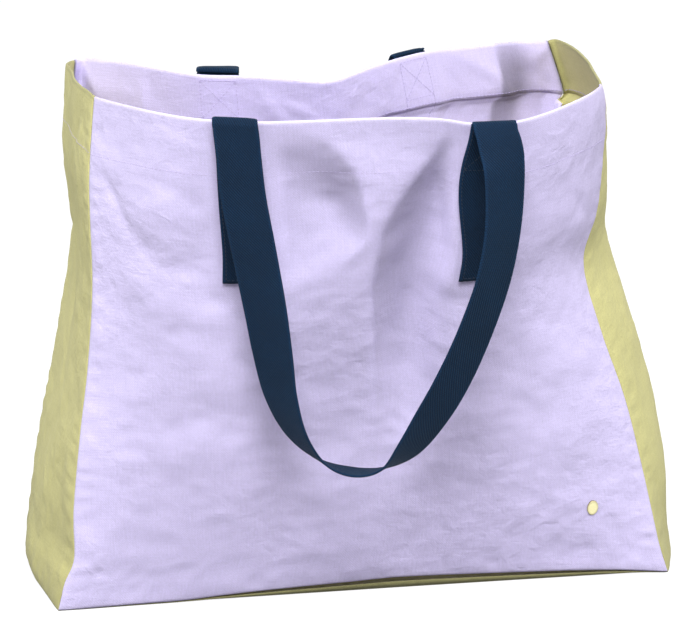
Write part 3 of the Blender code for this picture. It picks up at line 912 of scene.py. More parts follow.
def relief(side, across, up):
    """How far the cloth stands out from its stretched surface, in metres."""
    seed = bpy.context.scene.tote_stage.seed + 100 * SIDES.index(side)
    given = sizes()
    x = np.asarray(across, float) * side.width
    y = np.asarray(up, float) * BAG_HEIGHT
    out = np.zeros_like(x)
    for points in FOLDS[side.name]:
        out += fold_relief(x, y, side, points)
    for tuck in TUCKS.get(side.name, ()):
        out += tuck_relief(x, y, side, tuck)
    soft = unevenness(x, y, LONG_CRUMPLES, seed)
    soft = soft + SHORT_CRUMPLE_SHARE * unevenness(x, y, SHORT_CRUMPLES, seed + 1)
    sharp = unevenness(x, y, SHARP_CRUMPLES, seed + 2)
    out += given.crumple * (soft + SHARP_CRUMPLE_SHARE * (0.6 - np.sqrt(sharp**2 + 0.04)))
    out += given.crumple * FINE_CRUMPLE_SHARE * unevenness(x, y, FINE_CRUMPLES, seed + 3)
    from_seam = np.minimum(x, side.width - x)
    from_foot = y
    from_rim = BAG_HEIGHT - y
    wander = GATHER_WANDERING * unevenness(x * 0, y, WANDERING_LENGTH, seed + 4)
    gathers = np.sin(2 * np.pi * y / SEAM_GATHERS + wander)
    out += given.pucker * gathers * np.exp(-(((from_seam - GATHERS_FROM_EDGE) / SEAM_GATHER_REACH) ** 2))
    wander = GATHER_WANDERING * unevenness(x, y * 0, WANDERING_LENGTH, seed + 5)
    low_gathers = np.sin(2 * np.pi * x / FOOT_GATHERS + wander)
    out += given.pucker * low_gathers * np.exp(-(((from_foot - GATHERS_FROM_EDGE) / FOOT_GATHER_REACH) ** 2))
    held = smooth_step(from_seam, 0, SEAM_HOLD) * smooth_step(from_foot, 0, FOOT_HOLD)
    out *= HELD_BY_SEAM + (1 - HELD_BY_SEAM) * held
    out *= HELD_BY_RIM + (1 - HELD_BY_RIM) * smooth_step(from_rim, *RIM_HOLD)
    if side.name.endswith("panel"):
        for middle in strap_middles(side, y / BAG_HEIGHT):
            beside = np.abs(x - middle * side.width)
            sewn = 1 - smooth_step(beside, *STRAP_HOLD)
            sewn *= 1 - smooth_step(from_rim, *(SEWN_LENGTH + past for past in STRAP_END_HOLD))
            out *= 1 - STRAP_FLATNESS * sewn
    roll = SEAM_ROLL * np.exp(-from_seam / ROLL_REACH) + FOOT_ROLL * np.exp(-from_foot / ROLL_REACH)
    return out - roll


# Meshes


def add_piece(name, verts, faces, material, body, coords=None, values=None):
    """A smooth mesh piece on a body, with cloth coordinates in metres and named values at its points."""
    mesh = bpy.data.meshes.new(name)
    mesh.from_pydata([tuple(vert) for vert in verts], [], faces)
    mesh.materials.append(material)
    mesh.shade_smooth()
    if coords is not None:
        layer = mesh.uv_layers.new(name="cloth_metres")
        corners = np.zeros(len(mesh.loops), np.int32)
        mesh.loops.foreach_get("vertex_index", corners)
        layer.data.foreach_set("uv", np.asarray(coords, np.float32)[corners].ravel())
    for value_name, at_points in (values or {}).items():
        attribute = mesh.attributes.new(value_name, "FLOAT", "POINT")
        attribute.data.foreach_set("value", np.asarray(at_points, np.float32))
    piece = bpy.data.objects.new(name, mesh)
    bag_collection().objects.link(piece)
    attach(piece, body)
    return piece


def bag_collection():
    found = bpy.data.collections.get("tote_bag")
    if found is None:
        found = bpy.data.collections.new("tote_bag")
        bpy.context.scene.collection.children.link(found)
    return found


def grid_faces(columns, rows, keep=None):
    """The squares of a grid whose points run across first, without those that have a point not kept."""
    faces = []
    for row in range(rows - 1):
        for column in range(columns - 1):
            first = row * columns + column
            square = (first, first + 1, first + 1 + columns, first + columns)
            if keep is None or all(keep[point] for point in square):
                faces.append(square)
    return faces


def tube_faces(start, levels, around):
    """The faces of a closed tube whose rings of points follow each other, with a cap at both ends."""
    faces = []
    for level in range(levels - 1):
        for point in range(around):
            first = start + level * around + point
            second = start + level * around + (point + 1) % around
            faces.append((first, second, second + around, first + around))
    last = start + (levels - 1) * around
    faces.append(tuple(start + point for point in reversed(range(around))))
    faces.append(tuple(last + point for point in range(around)))
    return faces


def thicken(piece, thickness):
    solidify = piece.modifiers.new("Thickness", "SOLIDIFY")
    solidify.thickness = thickness
    solidify.offset = 0
    solidify.use_quality_normals = True


def stepped(length, edge_step, step):
    """Distances along a length, close together beside both ends and evenly spaced between them."""
    near = [edge_step, edge_step * 2.2, edge_step * 4, edge_step * 6.5]
    count = max(2, round((length - 2 * near[-1]) / step))
    middle = list(np.linspace(near[-1], length - near[-1], count + 1))
    return np.array(near[:-1] + middle + [length - distance for distance in reversed(near[:-1])])


def add_side(side, before, after, material):
    """A panel or a gusset: its cloth, its seam allowances turned in, and its hem folded down inside."""
    given = sizes()
    columns = stepped(side.width, SEAM_EDGE, given.cloth_grid) / side.width
    heights = stepped(BAG_HEIGHT, SEAM_EDGE, given.cloth_grid) / BAG_HEIGHT
    heights = heights[heights < height_share(FOLD_TOP)]
    fold = given.cloth_thickness + LAYER_GAP
    hem_steps = np.linspace(0, given.hem_depth, round(given.hem_depth / given.cloth_grid) + 1)
    hem_heights = height_share(hem_steps[1:])
    hem_sink = HEM_SINK * smooth_step(hem_steps[1:], given.hem_depth - HEM_SINK_REACH, given.hem_depth)
    turns = np.radians(HEM_TURNS)
    turn_heights = height_share(HEM_TURN_RISE - HEM_TURN_RISE * np.cos(turns))
    turn_inward = fold / 2 + fold / 2 * np.sin(turns)
    ups = np.concatenate((heights, turn_heights, hem_heights))
    inward = np.concatenate((np.zeros(len(heights)), turn_inward, fold - hem_sink))
    outside = len(heights)

    across, up = np.meshgrid(columns, ups)
    narrowed = np.clip(inward[:, None] - HEM_CLOSING, 0, None) / side.width
    across = np.clip(across, columns[0] + narrowed, columns[-1] - narrowed)
    cloth = side.cloth(across, up, -inward[:, None])

    fin_low = given.seam_allowance * ALLOWANCE_FROM_FOOT / BAG_HEIGHT
    fin_high = height_share(given.hem_depth + given.seam_allowance * ALLOWANCE_FROM_HEM)
    finned = (ups >= fin_low) & (ups <= fin_high) & (np.arange(len(ups)) < outside)
    turned = ALLOWANCE_SHARES * given.seam_allowance
    sides_in = []
    for share, first, second in ((0, before, side), (1, side, after)):
        inwards = -unit(first.facing(np.ones(len(ups)), ups) + second.facing(np.zeros(len(ups)), ups))
        spots = cloth[:, 0] if share == 0 else cloth[:, -1]
        reach = turned if share else turned[::-1]
        wave = 1 + 0.1 * unevenness(ups * BAG_HEIGHT, ups * 0, 0.03, 7 + share)
        sides_in.append(spots[:, None, :] + inwards[:, None, :] * reach[None, :, None] * wave[:, None, None])
    first_fin, second_fin = sides_in
    points = np.concatenate((first_fin, cloth, second_fin), axis=1)
    kept = np.ones(points.shape[:2], bool)
    kept[~finned, :2] = False
    kept[~finned, -2:] = False

    before_first = across[:, :1] * side.width - turned[::-1]
    past_second = across[:, -1:] * side.width + turned
    along = np.concatenate((before_first, across * side.width, past_second), axis=1)
    folded = np.where(np.arange(len(ups)) < outside, ups * BAG_HEIGHT, 2 * BAG_HEIGHT - ups * BAG_HEIGHT)
    risen = np.repeat(folded[:, None], points.shape[1], axis=1)

    foot_place = cloth[0]
    foot_in = foot_inward(side, columns)
    corner = given.seam_allowance * ALLOWANCE_FROM_FOOT / side.width
    free = (columns >= corner) & (columns <= 1 - corner)
    low_points = np.zeros((2, points.shape[1], 3))
    low_points[:, 2:-2] = foot_place[None] + foot_in[None] * (turned[::-1])[:, None, None]
    low_kept = np.zeros((2, points.shape[1]), bool)
    low_kept[:, 2:-2] = free
    low_along = np.repeat(along[:1], 2, axis=0)
    low_risen = risen[:1] - turned[::-1][:, None] * np.ones((1, points.shape[1]))

    points = np.concatenate((low_points, points))
    kept = np.concatenate((low_kept, kept)).ravel()
    coords = np.stack((np.concatenate((low_along, along)), np.concatenate((low_risen, risen))), axis=-1)
    coords = coords.reshape(-1, 2)
    rows, wide = points.shape[:2]
    numbers = np.cumsum(kept) - 1
    faces = [tuple(int(numbers[point]) for point in square) for square in grid_faces(wide, rows, kept)]
    wear, shade = wear_and_shade(side, coords[:, 0], coords[:, 1])
    piece = add_piece(
        side.name + "_cloth",
        points.reshape(-1, 3)[kept],
        faces,
        material,
        "bag",
        coords[kept],
        {"wear": wear[kept], "shade": shade[kept]},
    )
    thicken(piece, given.cloth_thickness)
    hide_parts(side.name)
    return piece


def wear_and_shade(side, x, y):
    """How pale worn edges are, and how much painted shade darkens sheltered places, from 0 to 1, on the
    unfolded cloth.
    """
    folded_in = y > BAG_HEIGHT + FOLD_TOP
    height = np.where(folded_in, 2 * BAG_HEIGHT - y, y)
    from_seam = np.minimum(x, side.width - x).clip(0)
    rim_wear_and_shade = np.exp(-(((y - BAG_HEIGHT) / RIM_WEAR_REACH) ** 2))
    seam_wear = EDGE_WEAR * np.exp(-from_seam / SEAM_WEAR_REACH)
    foot_wear = EDGE_WEAR * np.exp(-y.clip(0) / FOOT_WEAR_REACH)
    # Painted shade beside the seams: inside the hem, and on the back panel also outside, above the hem's
    # lower edge
    sheltered = folded_in if side is not BACK else height > height_share(sizes().hem_depth) * BAG_HEIGHT
    shade = np.exp(-((from_seam / SEAM_SHADE_REACH) ** 2)) * sheltered
    if side.name.endswith("gusset"):
        # Painted shade on a gusset: beside its seams inside the hem, low down above the base, and on the top
        # of its rim, which faces the lamps
        beside_seam = GUSSET_SHADE * np.exp(-((from_seam / GUSSET_SHADE_REACH) ** 2)) * folded_in
        above_base = LOW_SHADE * (1 - smooth_step(height, 0, LOW_SHADE_HEIGHT)) * ~folded_in
        return np.zeros_like(x), np.maximum.reduce((shade, beside_seam, above_base, RIM_SHADE * rim_wear_and_shade))
    wear = np.clip(rim_wear_and_shade + seam_wear + foot_wear, 0, 1) * ~(folded_in | (sheltered & (rim_wear_and_shade < 0.1)))
    # A panel also gets the painted shade on the steep sides of its tucks
    return wear, np.maximum(shade, tuck_shade(side, x, height))


def foot_inward(side, across):
    """The direction of the seam allowance at a side's foot: halfway between inwards and up."""
    inward = -side.facing(across, np.zeros_like(across))
    inward[..., 2] = 0
    return unit(unit(inward) + (0, 0, 1))


def add_base(material):
    """The base: nearly flat on the floor, curling up to the foot of each side."""
    given = sizes()
    grid = given.cloth_grid * BASE_GRID_TIMES
    across_shares = stepped(BAG_WIDTH, SEAM_EDGE * BASE_EDGE_TIMES, grid) / BAG_WIDTH
    deep_shares = stepped(BAG_DEPTH, SEAM_EDGE * BASE_EDGE_TIMES, grid) / BAG_DEPTH
    across, deep = np.meshgrid(across_shares, deep_shares)
    front_edge = FRONT.foot.at(across)
    back_edge = BACK.foot.at(1 - across)
    left_edge = LEFT.foot.at(1 - deep)
    right_edge = RIGHT.foot.at(deep)
    low = mixed(FRONT.foot.at(0), FRONT.foot.at(1), across)
    high = mixed(BACK.foot.at(1), BACK.foot.at(0), across)
    place = mixed(front_edge, back_edge, deep) + mixed(left_edge, right_edge, across) - mixed(low, high, deep)
    floor = given.cloth_thickness / 2
    height = np.full_like(across, floor)
    lifts = (
        (front_edge, deep * BAG_DEPTH),
        (back_edge, (1 - deep) * BAG_DEPTH),
        (left_edge, across * BAG_WIDTH),
        (right_edge, (1 - across) * BAG_WIDTH),
    )
    for risen, away in lifts:
        height += (risen[..., 2] - floor) * np.clip(1 - away / BASE_CURL, 0, 1) ** 2
    x = across * BAG_WIDTH
    y = deep * BAG_DEPTH
    seed = bpy.context.scene.tote_stage.seed + 900
    from_edge = np.minimum(np.minimum(x, BAG_WIDTH - x), np.minimum(y, BAG_DEPTH - y))
    inner = smooth_step(from_edge, *BASE_BUMPS_FROM)
    height += BASE_BUMPS * np.clip(unevenness(x, y, BASE_BUMP_LENGTH, seed) - 0.1, 0, 2) * inner
    place[..., 2] = height
    rows, wide = across.shape
    total = [tuple(spot) for spot in place.reshape(-1, 3)]
    coords = [tuple(pair) for pair in np.stack((x, y), axis=-1).reshape(-1, 2)]
    faces = grid_faces(wide, rows)
    # The shade value is painted shade along the base's front edge, where it curls up under the front panel's
    # foot
    piece = add_piece(
        "base_panel_cloth",
        total,
        faces,
        material,
        "bag",
        coords,
        {"wear": np.zeros(len(total)), "shade": np.exp(-((y / BASE_SHADE_REACH) ** 2)).ravel()},
    )
    thicken(piece, given.cloth_thickness)
    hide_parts("base_panel")
    return piece


# Thread


def stitches_along(line, gap, side_out, thread):
    """Short rounded stitches along a line of points, each sunk at both ends."""
    lengths = lengths_along(line)
    count = max(1, round(lengths[-1] / sizes().stitch_length))
    step = lengths[-1] / count
    verts = []
    faces = []
    for number in range(count):
        spots = (number + np.array([row[0] for row in STITCH_ROWS]) * (1 - gap) + gap / 2) * step
        centres = read_along(spots, lengths, line)
        outs = unit(read_along(spots, lengths, side_out))
        way = unit(centres[-1] - centres[0])
        start = len(verts)
        for centre, out, (_, swell, rise) in zip(centres, outs, STITCH_ROWS):
            aside = unit(np.cross(way, out))
            middle = centre + out * rise * thread / 2
            for turn in np.arange(THREAD_SIDES) * 2 * np.pi / THREAD_SIDES:
                around = aside * np.cos(turn) + out * np.sin(turn)
                verts.append(middle + around * swell * thread / 2)
        faces += tube_faces(start, len(STITCH_ROWS), THREAD_SIDES)
    return verts, faces


def add_stitches(name, runs, material, slot, thread, gap=0.12):
    """One piece of thread for several stitched lines. Each run is its points and the way out of the cloth."""
    verts = []
    faces = []
    for line, outs in runs:
        more_verts, more_faces = stitches_along(np.asarray(line), gap, np.asarray(outs), thread)
        start = len(verts)
        verts += more_verts
        faces += [tuple(start + point for point in face) for face in more_faces]
    return add_piece(name, verts, faces, material, "bag")


# Webbing


def webbing_mesh(centres, asides, outs, droops=None):
    """A flat rounded strap along rows of centres, with its width along asides and its thickness along outs.
    Its first and last edge droop by the given lengths."""
    given = sizes()
    ring = list(WEBBING_SECTION) + [(share, -height) for share, height in reversed(WEBBING_SECTION[1:-1])]
    lengths = lengths_along(centres)
    if droops is None:
        droops = np.zeros((len(centres), 2))
    verts = []
    coords = []
    for centre, aside, out, length, (first_droop, last_droop) in zip(centres, asides, outs, lengths, droops):
        for share, height in ring:
            near_first = max(0, 1 - share / DROOP_SHARE) ** 2
            near_last = max(0, 1 - (1 - share) / DROOP_SHARE) ** 2
            spot = centre + aside * (share - 0.5) * given.webbing_width
            spot = spot + out * height * given.webbing_thickness / 2
            verts.append(spot - UP * (first_droop * near_first + last_droop * near_last))
            coords.append((share * given.webbing_width, length))
    return verts, tube_faces(0, len(centres), len(ring)), coords


def webbing_offset():
    given = sizes()
    return given.cloth_thickness / 2 + LAYER_GAP + given.webbing_thickness / 2


def fold_points(side):
    """Where the two ends of a handle fold over at the rim: the places its free loop turns about."""
    given = sizes()
    half = given.webbing_width / 2 / side.width
    points = []
    for centre in strap_centres(side):
        point = side.place(centre, 1, webbing_offset())
        rim_height = max(side.place(share, 1)[2] for share in (centre - half, centre, centre + half))
        point[2] = rim_height + given.cloth_thickness / 2 + FOLD_CLEARANCE + given.webbing_thickness / 2
        points.append(point)
    return points


def cloth_reach(side, up, spot, axis, out):
    """How far past a spot the cloth behind it would bring webbing sewn to it, within a webbing's width."""
    shares = np.arange(REACH_STEPS + 1) / REACH_STEPS
    offsets = side.place(shares, np.full_like(shares, up), webbing_offset()) - spot
    near = np.abs(offsets @ axis) < sizes().webbing_width
    return float((offsets @ out)[near].max())


def add_sewn_end(name, side, centre, bow, fold, material, end_name):
    """One end of a handle, flat on the outside of its panel, and up to the underside of its fold."""
    given = sizes()
    ups = np.linspace(height_share(SEWN_LENGTH), 1, SEWN_STEPS)
    middle_share = bowed(side, centre, bow, ups)
    left, right = strap_edges(side, middle_share, ups, webbing_offset() + relief(side, middle_share, ups))
    middle = (left + right) / 2
    asides = unit(right - left)
    outs = unit(np.cross(asides, np.gradient(middle, axis=0)))
    last = middle[-1].copy()
    last[2] = max(last[2], fold[2] - given.webbing_thickness - LAYER_GAP)
    middle = np.concatenate((middle, last[None]))
    asides = np.concatenate((asides, asides[-1:]))
    outs = np.concatenate((outs, outs[-1:]))
    verts, faces, coords = webbing_mesh(middle, asides, outs)
    piece = add_piece(name, verts, faces, material, "bag", coords)
    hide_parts(end_name)


def strap_edges(side, middle_share, ups, outward):
    """Both edges of a strap sewn on flat, clear of the cloth that bulges between them."""
    half = sizes().webbing_width / 2 / side.width
    left = side.place(middle_share - half, ups, outward)
    right = side.place(middle_share + half, ups, outward)
    facing = side.facing(middle_share, ups)
    bulge = np.sum((side.place(middle_share, ups, outward) - (left + right) / 2) * facing, axis=-1)
    below_fold = 1 - smooth_step(ups, BULGE_FADES_FROM, 1)
    clear = (np.clip(bulge, 0, None) * below_fold)[..., None] * facing
    return left + clear, right + clear


def rim_directions(side, centre):
    """The direction along the rim under a strap, and the one outwards from there."""
    half = sizes().webbing_width / 2 / side.width
    along = unit(side.place(centre + half, 1) - side.place(centre - half, 1))
    return along, unit(np.cross(along, UP))


def fold_rows(side, centre, fold, rise):
    """A rounded way up from a sewn end, over the rim and down to where the loop hangs from."""
    thickness = sizes().webbing_thickness
    along, out = rim_directions(side, centre)
    over_edge = fold + out * (cloth_reach(side, 1, fold, along, out) + FOLD_REACH)
    guides = (
        fold - UP * thickness * 0.35,
        fold + UP * (thickness * 0.30 + rise) + out * thickness * 0.45,
        over_edge + UP * (thickness * 0.05 + rise * 0.7),
        over_edge + out * thickness - UP * thickness * 2,
    )
    return smooth_line([Vector(guide) for guide in guides], FOLD_STEPS)


def handle_route(side, route_shares, crests):
    """Rows of a handle's free loop from its first fold to its last: centres, directions across and outwards,
    and how far both edges droop."""
    given = sizes()
    width = given.webbing_width
    thickness = given.webbing_thickness
    folds = fold_points(side)
    axis = unit(folds[1] - folds[0])
    out = unit(np.cross(axis, UP))
    starts, ends = (
        fold_rows(side, centre, fold, crest[0])
        for centre, fold, crest in zip(strap_centres(side), folds, crests)
    )
    points = []
    turns = []
    for across, drop, swell, turn in route_shares:
        spot = np.array(starts[-1].lerp(ends[-1], across)) - UP * drop * HANDLE_DROP + out * swell * width
        half_depth = thickness + (width / 2 - thickness) * turn
        reach = cloth_reach(side, 1 - drop * HANDLE_DROP / BAG_HEIGHT, spot, axis, out)
        points.append(Vector(spot + out * max(0, reach + half_depth + HANG_CLEARANCE)))
        turns.append(Vector((turn, 0, 0)))
    line = smooth_line([starts[-1]] + points + [ends[-1]], LOOP_STEPS)
    turned = smooth_line([Vector()] + turns + [Vector()], LOOP_STEPS)
    angles = [0] * (len(starts) - 1) + [turn.x * EDGE_ON for turn in turned] + [0] * (len(ends) - 1)
    centres = np.array([tuple(spot) for spot in starts[:-1] + line + ends[-2::-1]])

    ways = np.gradient(centres, axis=0)
    angles = np.array(angles)[:, None]
    asides = unit(np.cross(ways, out))
    asides = unit(asides * np.cos(angles) - out * np.sin(angles))
    from_start = lengths_along(centres)
    from_end = from_start[-1] - from_start
    droops = np.zeros((len(centres), 2))
    for centre, crest, away, sign in zip(strap_centres(side), crests, (from_start, from_end), (-1, 1)):
        along = rim_directions(side, centre)[0] * sign
        asides = unit(mixed(asides, along, 1 - smooth_step(away, FOLD_EASE / 4, FOLD_EASE)))
        crest_at = np.sort(away)[FOLD_STEPS]
        near_crest = smooth_step(away, 0, crest_at) * (1 - smooth_step(away, crest_at, FOLD_EASE))
        droops += near_crest[:, None] * np.array(crest[1:3][::sign])
    outs = unit(np.cross(asides, ways))
    return centres, asides, outs, droops


# Materials


class Sketch:
    """A material's node tree, built a node at a time."""

    def __init__(self, name, color):
        self.material = bpy.data.materials.new(name)
        self.material.use_nodes = True
        self.material.diffuse_color = (*color, 1)
        self.tree = self.material.node_tree
        self.shader = self.tree.nodes["Principled BSDF"]

    def join(self, source, socket):
        if isinstance(source, bpy.types.NodeSocket):
            self.tree.links.new(source, socket)
        else:
            socket.default_value = source

    def maths(self, operation, first, second=None):
        node = self.tree.nodes.new("ShaderNodeMath")
        node.operation = operation
        for value, socket in zip((first, second), node.inputs):
            if value is not None:
                self.join(value, socket)
        return node.outputs[0]

    def product(self, first, *others):
        for other in others:
            first = self.maths("MULTIPLY", first, other)
        return first

    def wave(self, length, pitch):
        """A sine wave that turns once for every two pitches."""
        return self.maths("SINE", self.product(length, math.pi / pitch))

    def object_place(self):
        return self.tree.nodes.new("ShaderNodeTexCoord").outputs["Object"]

    def cloth_coordinates(self):
        node = self.tree.nodes.new("ShaderNodeUVMap")
        node.uv_map = "cloth_metres"
        return node.outputs[0]

    def parts(self, vector):
        node = self.tree.nodes.new("ShaderNodeSeparateXYZ")
        self.join(vector, node.inputs[0])
        return node.outputs[0], node.outputs[1], node.outputs[2]

    def vector(self, x, y, z=0.0):
        node = self.tree.nodes.new("ShaderNodeCombineXYZ")
        for value, socket in zip((x, y, z), node.inputs):
            self.join(value, socket)
        return node.outputs[0]

    def noise(self, vector, scale, detail=2.0, roughness=0.5, distortion=0.0):
        node = self.tree.nodes.new("ShaderNodeTexNoise")
        self.join(vector, node.inputs["Vector"])
        node.inputs["Scale"].default_value = scale
        node.inputs["Detail"].default_value = detail
        node.inputs["Roughness"].default_value = roughness
        node.inputs["Distortion"].default_value = distortion
        return node.outputs["Fac"]

    def cells(self, vector, scale):
        node = self.tree.nodes.new("ShaderNodeTexVoronoi")
        self.join(vector, node.inputs["Vector"])
        node.inputs["Scale"].default_value = scale
        return node.outputs["Distance"]

    def value(self, name):
        node = self.tree.nodes.new("ShaderNodeAttribute")
        node.attribute_name = name
        return node.outputs["Fac"]

    def between(self, value, low, high, to_low, to_high):
        node = self.tree.nodes.new("ShaderNodeMapRange")
        for given, socket in zip((value, low, high, to_low, to_high), node.inputs):
            self.join(given, socket)
        return node.outputs[0]

    def tint(self, share, first, second):
        node = self.tree.nodes.new("ShaderNodeMix")
        node.data_type = "RGBA"
        self.join(share, node.inputs["Factor"])
        color_inputs = [socket for socket in node.inputs if socket.type == "RGBA"]
        self.join(first, color_inputs[0])
        self.join(second, color_inputs[1])
        return [socket for socket in node.outputs if socket.type == "RGBA"][0]

    def scaled(self, color, factor):
        """A colour made lighter or darker by a factor."""
        node = self.tree.nodes.new("ShaderNodeVectorMath")
        node.operation = "SCALE"
        self.join(color, node.inputs[0])
        self.join(factor, node.inputs["Scale"])
        return node.outputs[0]

    def bump(self, height, distance, strength=1.0, under=None):
        node = self.tree.nodes.new("ShaderNodeBump")
        self.join(height, node.inputs["Height"])
        node.inputs["Distance"].default_value = distance
        node.inputs["Strength"].default_value = strength
        if under is not None:
            self.join(under, node.inputs["Normal"])
        return node.outputs[0]


def slub_noise(sketch, place):
    return sketch.noise(sketch.vector(*place), 1, 3, 0.6)


def washed_canvas(name, color):
    """Garment-washed cotton canvas: a plain weave with slubs, small crinkles, paler worn edges, and painted
    shade where its shade value is set.
    """
    sketch = Sketch(name, color)
    u, v, _ = sketch.parts(sketch.cloth_coordinates())
    place = sketch.object_place()

    weave = sketch.product(sketch.wave(u, CANVAS_PITCH), sketch.wave(v, CANVAS_PITCH))
    weft_slubs = slub_noise(sketch, (sketch.product(u, SLUB_LONG), sketch.product(v, SLUB_SHORT)))
    warp_slubs = slub_noise(sketch, (sketch.product(u, SLUB_SHORT), sketch.product(v, SLUB_LONG), WARP_PLACE))
    slubs = sketch.maths("ADD", weft_slubs, warp_slubs)
    specks = sketch.noise(place, 900, 2, 0.6)
    fading = sketch.noise(place, 14, 4, 0.55)
    crinkles = sketch.noise(place, 95, 6, 0.62, 0.6)
    creases = sketch.cells(sketch.vector(*warped(sketch, place)), 75)
    wear = sketch.value("wear")

    brightness = sketch.product(
        sketch.between(slubs, 0.7, 1.3, 0.96, 1.04),
        sketch.between(specks, 0.3, 0.7, 0.93, 1.07),
        sketch.between(fading, 0.3, 0.7, 0.965, 1.035),
        sketch.between(weave, -1, 1, 0.975, 1.02),
        # Painted shade: the shade value darkens the colour, down to 0.35 of it
        sketch.between(sketch.value("shade"), 0, 1, 1.0, 0.35),
    )
    worn = sketch.product(wear, sketch.between(specks, 0.35, 0.65, 0.4, 1.0), 0.45)
    pale = tuple(channel + (1 - channel) * 0.30 for channel in color)
    shown = sketch.tint(worn, (*color, 1), (*pale, 1))
    sketch.join(sketch.scaled(shown, brightness), sketch.shader.inputs["Base Color"])
    sketch.join(sketch.between(slubs, 0.7, 1.3, 0.94, 0.84), sketch.shader.inputs["Roughness"])

    folded = sketch.maths("ADD", crinkles, sketch.product(creases, 0.35))
    crushed = sketch.between(sketch.noise(place, 9, 2, 0.5), 0.42, 0.62, 0.15, 1.0)
    normal = sketch.bump(sketch.product(folded, crushed), 0.0024, 0.5)
    normal = sketch.bump(slubs, 0.00035, 0.55, normal)
    normal = sketch.bump(weave, 0.00012, 0.5, normal)
    sketch.join(normal, sketch.shader.inputs["Normal"])
    sketch.shader.inputs["Specular IOR Level"].default_value = 0.25
    sketch.shader.inputs["Sheen Weight"].default_value = 0.12
    sketch.shader.inputs["Sheen Roughness"].default_value = 0.6
    return sketch.material


def warped(sketch, place):
    """Coordinates shifted by a soft noise, so that the creases don't look like cells."""
    x, y, z = sketch.parts(place)
    shift = sketch.product(sketch.noise(place, 45, 2, 0.5), 0.03)
    return (
        sketch.maths("ADD", x, shift),
        sketch.maths("SUBTRACT", y, shift),
        sketch.maths("ADD", sketch.product(z, 1.15), shift),
    )


def twill_webbing(name, color, width):
    """Cotton webbing in a diagonal twill, with a plain selvedge at both edges and a soft blue-green sheen,
    partly from the shader's sheen and partly a painted highlight on its raised floats.
    """
    sketch = Sketch(name, color)
    u, v, _ = sketch.parts(sketch.cloth_coordinates())
    place = sketch.object_place()
    wobble = sketch.product(sketch.noise(place, 120, 2, 0.5), 0.0009)
    slant = sketch.maths("ADD", sketch.maths("ADD", v, sketch.product(u, TWILL_SLANT)), wobble)
    twill = sketch.wave(slant, TWILL_LENGTH / 2)
    yarns = sketch.wave(u, YARN_LENGTH / 2)
    picks = sketch.wave(v, PICK_LENGTH / 2)
    floats = sketch.maths("ADD", sketch.product(twill, 0.7), sketch.product(yarns, 0.3))
    from_middle = sketch.maths("ABSOLUTE", sketch.maths("SUBTRACT", u, width / 2))
    from_edge = sketch.maths("SUBTRACT", width / 2, from_middle)
    selvedge = sketch.between(from_edge, *SELVEDGE_REACH, 1.0, 0.0)
    inner = sketch.product(floats, sketch.maths("SUBTRACT", 1.0, selvedge))
    weave = sketch.maths("ADD", inner, sketch.product(picks, 0.6, selvedge))
    fuzz = sketch.noise(place, 1200, 3, 0.7)
    fading = sketch.noise(place, 35, 3, 0.5)
    share = sketch.between(weave, -0.9, 1.0, 0.0, 1.0)
    # The raised floats are a lighter, bluer copy of the navy and the sunk ones a darker copy: a painted sheen
    # highlight and painted shade laid on the twill's pattern
    raised = (color[0] * 1.1, color[1] * 1.9 + 0.006, color[2] * 1.5 + 0.006)
    sunk = tuple(channel * 0.4 for channel in color)
    shown = sketch.tint(share, (*sunk, 1), (*raised, 1))
    brightness = sketch.product(
        sketch.between(fuzz, 0.3, 0.7, 0.8, 1.2),
        sketch.between(fading, 0.3, 0.7, 0.88, 1.12),
        sketch.between(selvedge, 0, 1, 1.0, 1.35),
    )
    sketch.join(sketch.scaled(shown, brightness), sketch.shader.inputs["Base Color"])
    sketch.join(sketch.between(fuzz, 0.3, 0.7, 0.66, 0.84), sketch.shader.inputs["Roughness"])
    normal = sketch.bump(weave, 0.00035, 0.8)
    normal = sketch.bump(fuzz, 0.0002, 0.3, normal)
    sketch.join(normal, sketch.shader.inputs["Normal"])
    sketch.shader.inputs["Specular IOR Level"].default_value = 0.15
    sketch.shader.inputs["Sheen Weight"].default_value = 0.03
    sketch.shader.inputs["Sheen Tint"].default_value = (0.25, 0.65, 0.85, 1)
    sketch.shader.inputs["Sheen Roughness"].default_value = 0.45
    return sketch.material


def sewing_thread(name, color):
    """Twisted cotton thread, a little paler on its raised turns."""
    sketch = Sketch(name, color)
    place = sketch.object_place()
    twist = sketch.noise(place, 1500, 2, 0.6)
    shown = sketch.scaled(color, sketch.between(twist, 0.3, 0.7, 0.75, 1.25))
    sketch.join(shown, sketch.shader.inputs["Base Color"])
    sketch.join(sketch.between(twist, 0.3, 0.7, 0.6, 0.8), sketch.shader.inputs["Roughness"])
    sketch.join(sketch.bump(twist, 0.0002, 0.5), sketch.shader.inputs["Normal"])
    return sketch.material


def pressed_metal(name, color):
    """Pale gold plate with a hammered face, and painted shade where its raised rim turns down."""
    sketch = Sketch(name, color)
    place = sketch.object_place()
    hammered = sketch.noise(place, 700, 2, 0.5)
    scratches = sketch.noise(place, 2600, 3, 0.7)
    # The rim value paints shade on the slopes where the raised rim turns down: a darker copy of the gold
    dark = (color[0] * 0.30, color[1] * 0.26, color[2] * 0.22, 1)
    shown = sketch.tint(sketch.value("rim"), (*color, 1), dark)
    shown = sketch.scaled(shown, sketch.between(scratches, 0.3, 0.7, 0.9, 1.08))
    sketch.join(shown, sketch.shader.inputs["Base Color"])
    sketch.join(sketch.between(hammered, 0.3, 0.7, 0.28, 0.46), sketch.shader.inputs["Roughness"])
    sketch.join(sketch.bump(hammered, 0.0006, 0.6), sketch.shader.inputs["Normal"])
    sketch.shader.inputs["Metallic"].default_value = 0.85
    return sketch.material


def stocked(name, maker, *details):
    """The named material, made once."""
    return bpy.data.materials.get(name) or maker(name, *details)


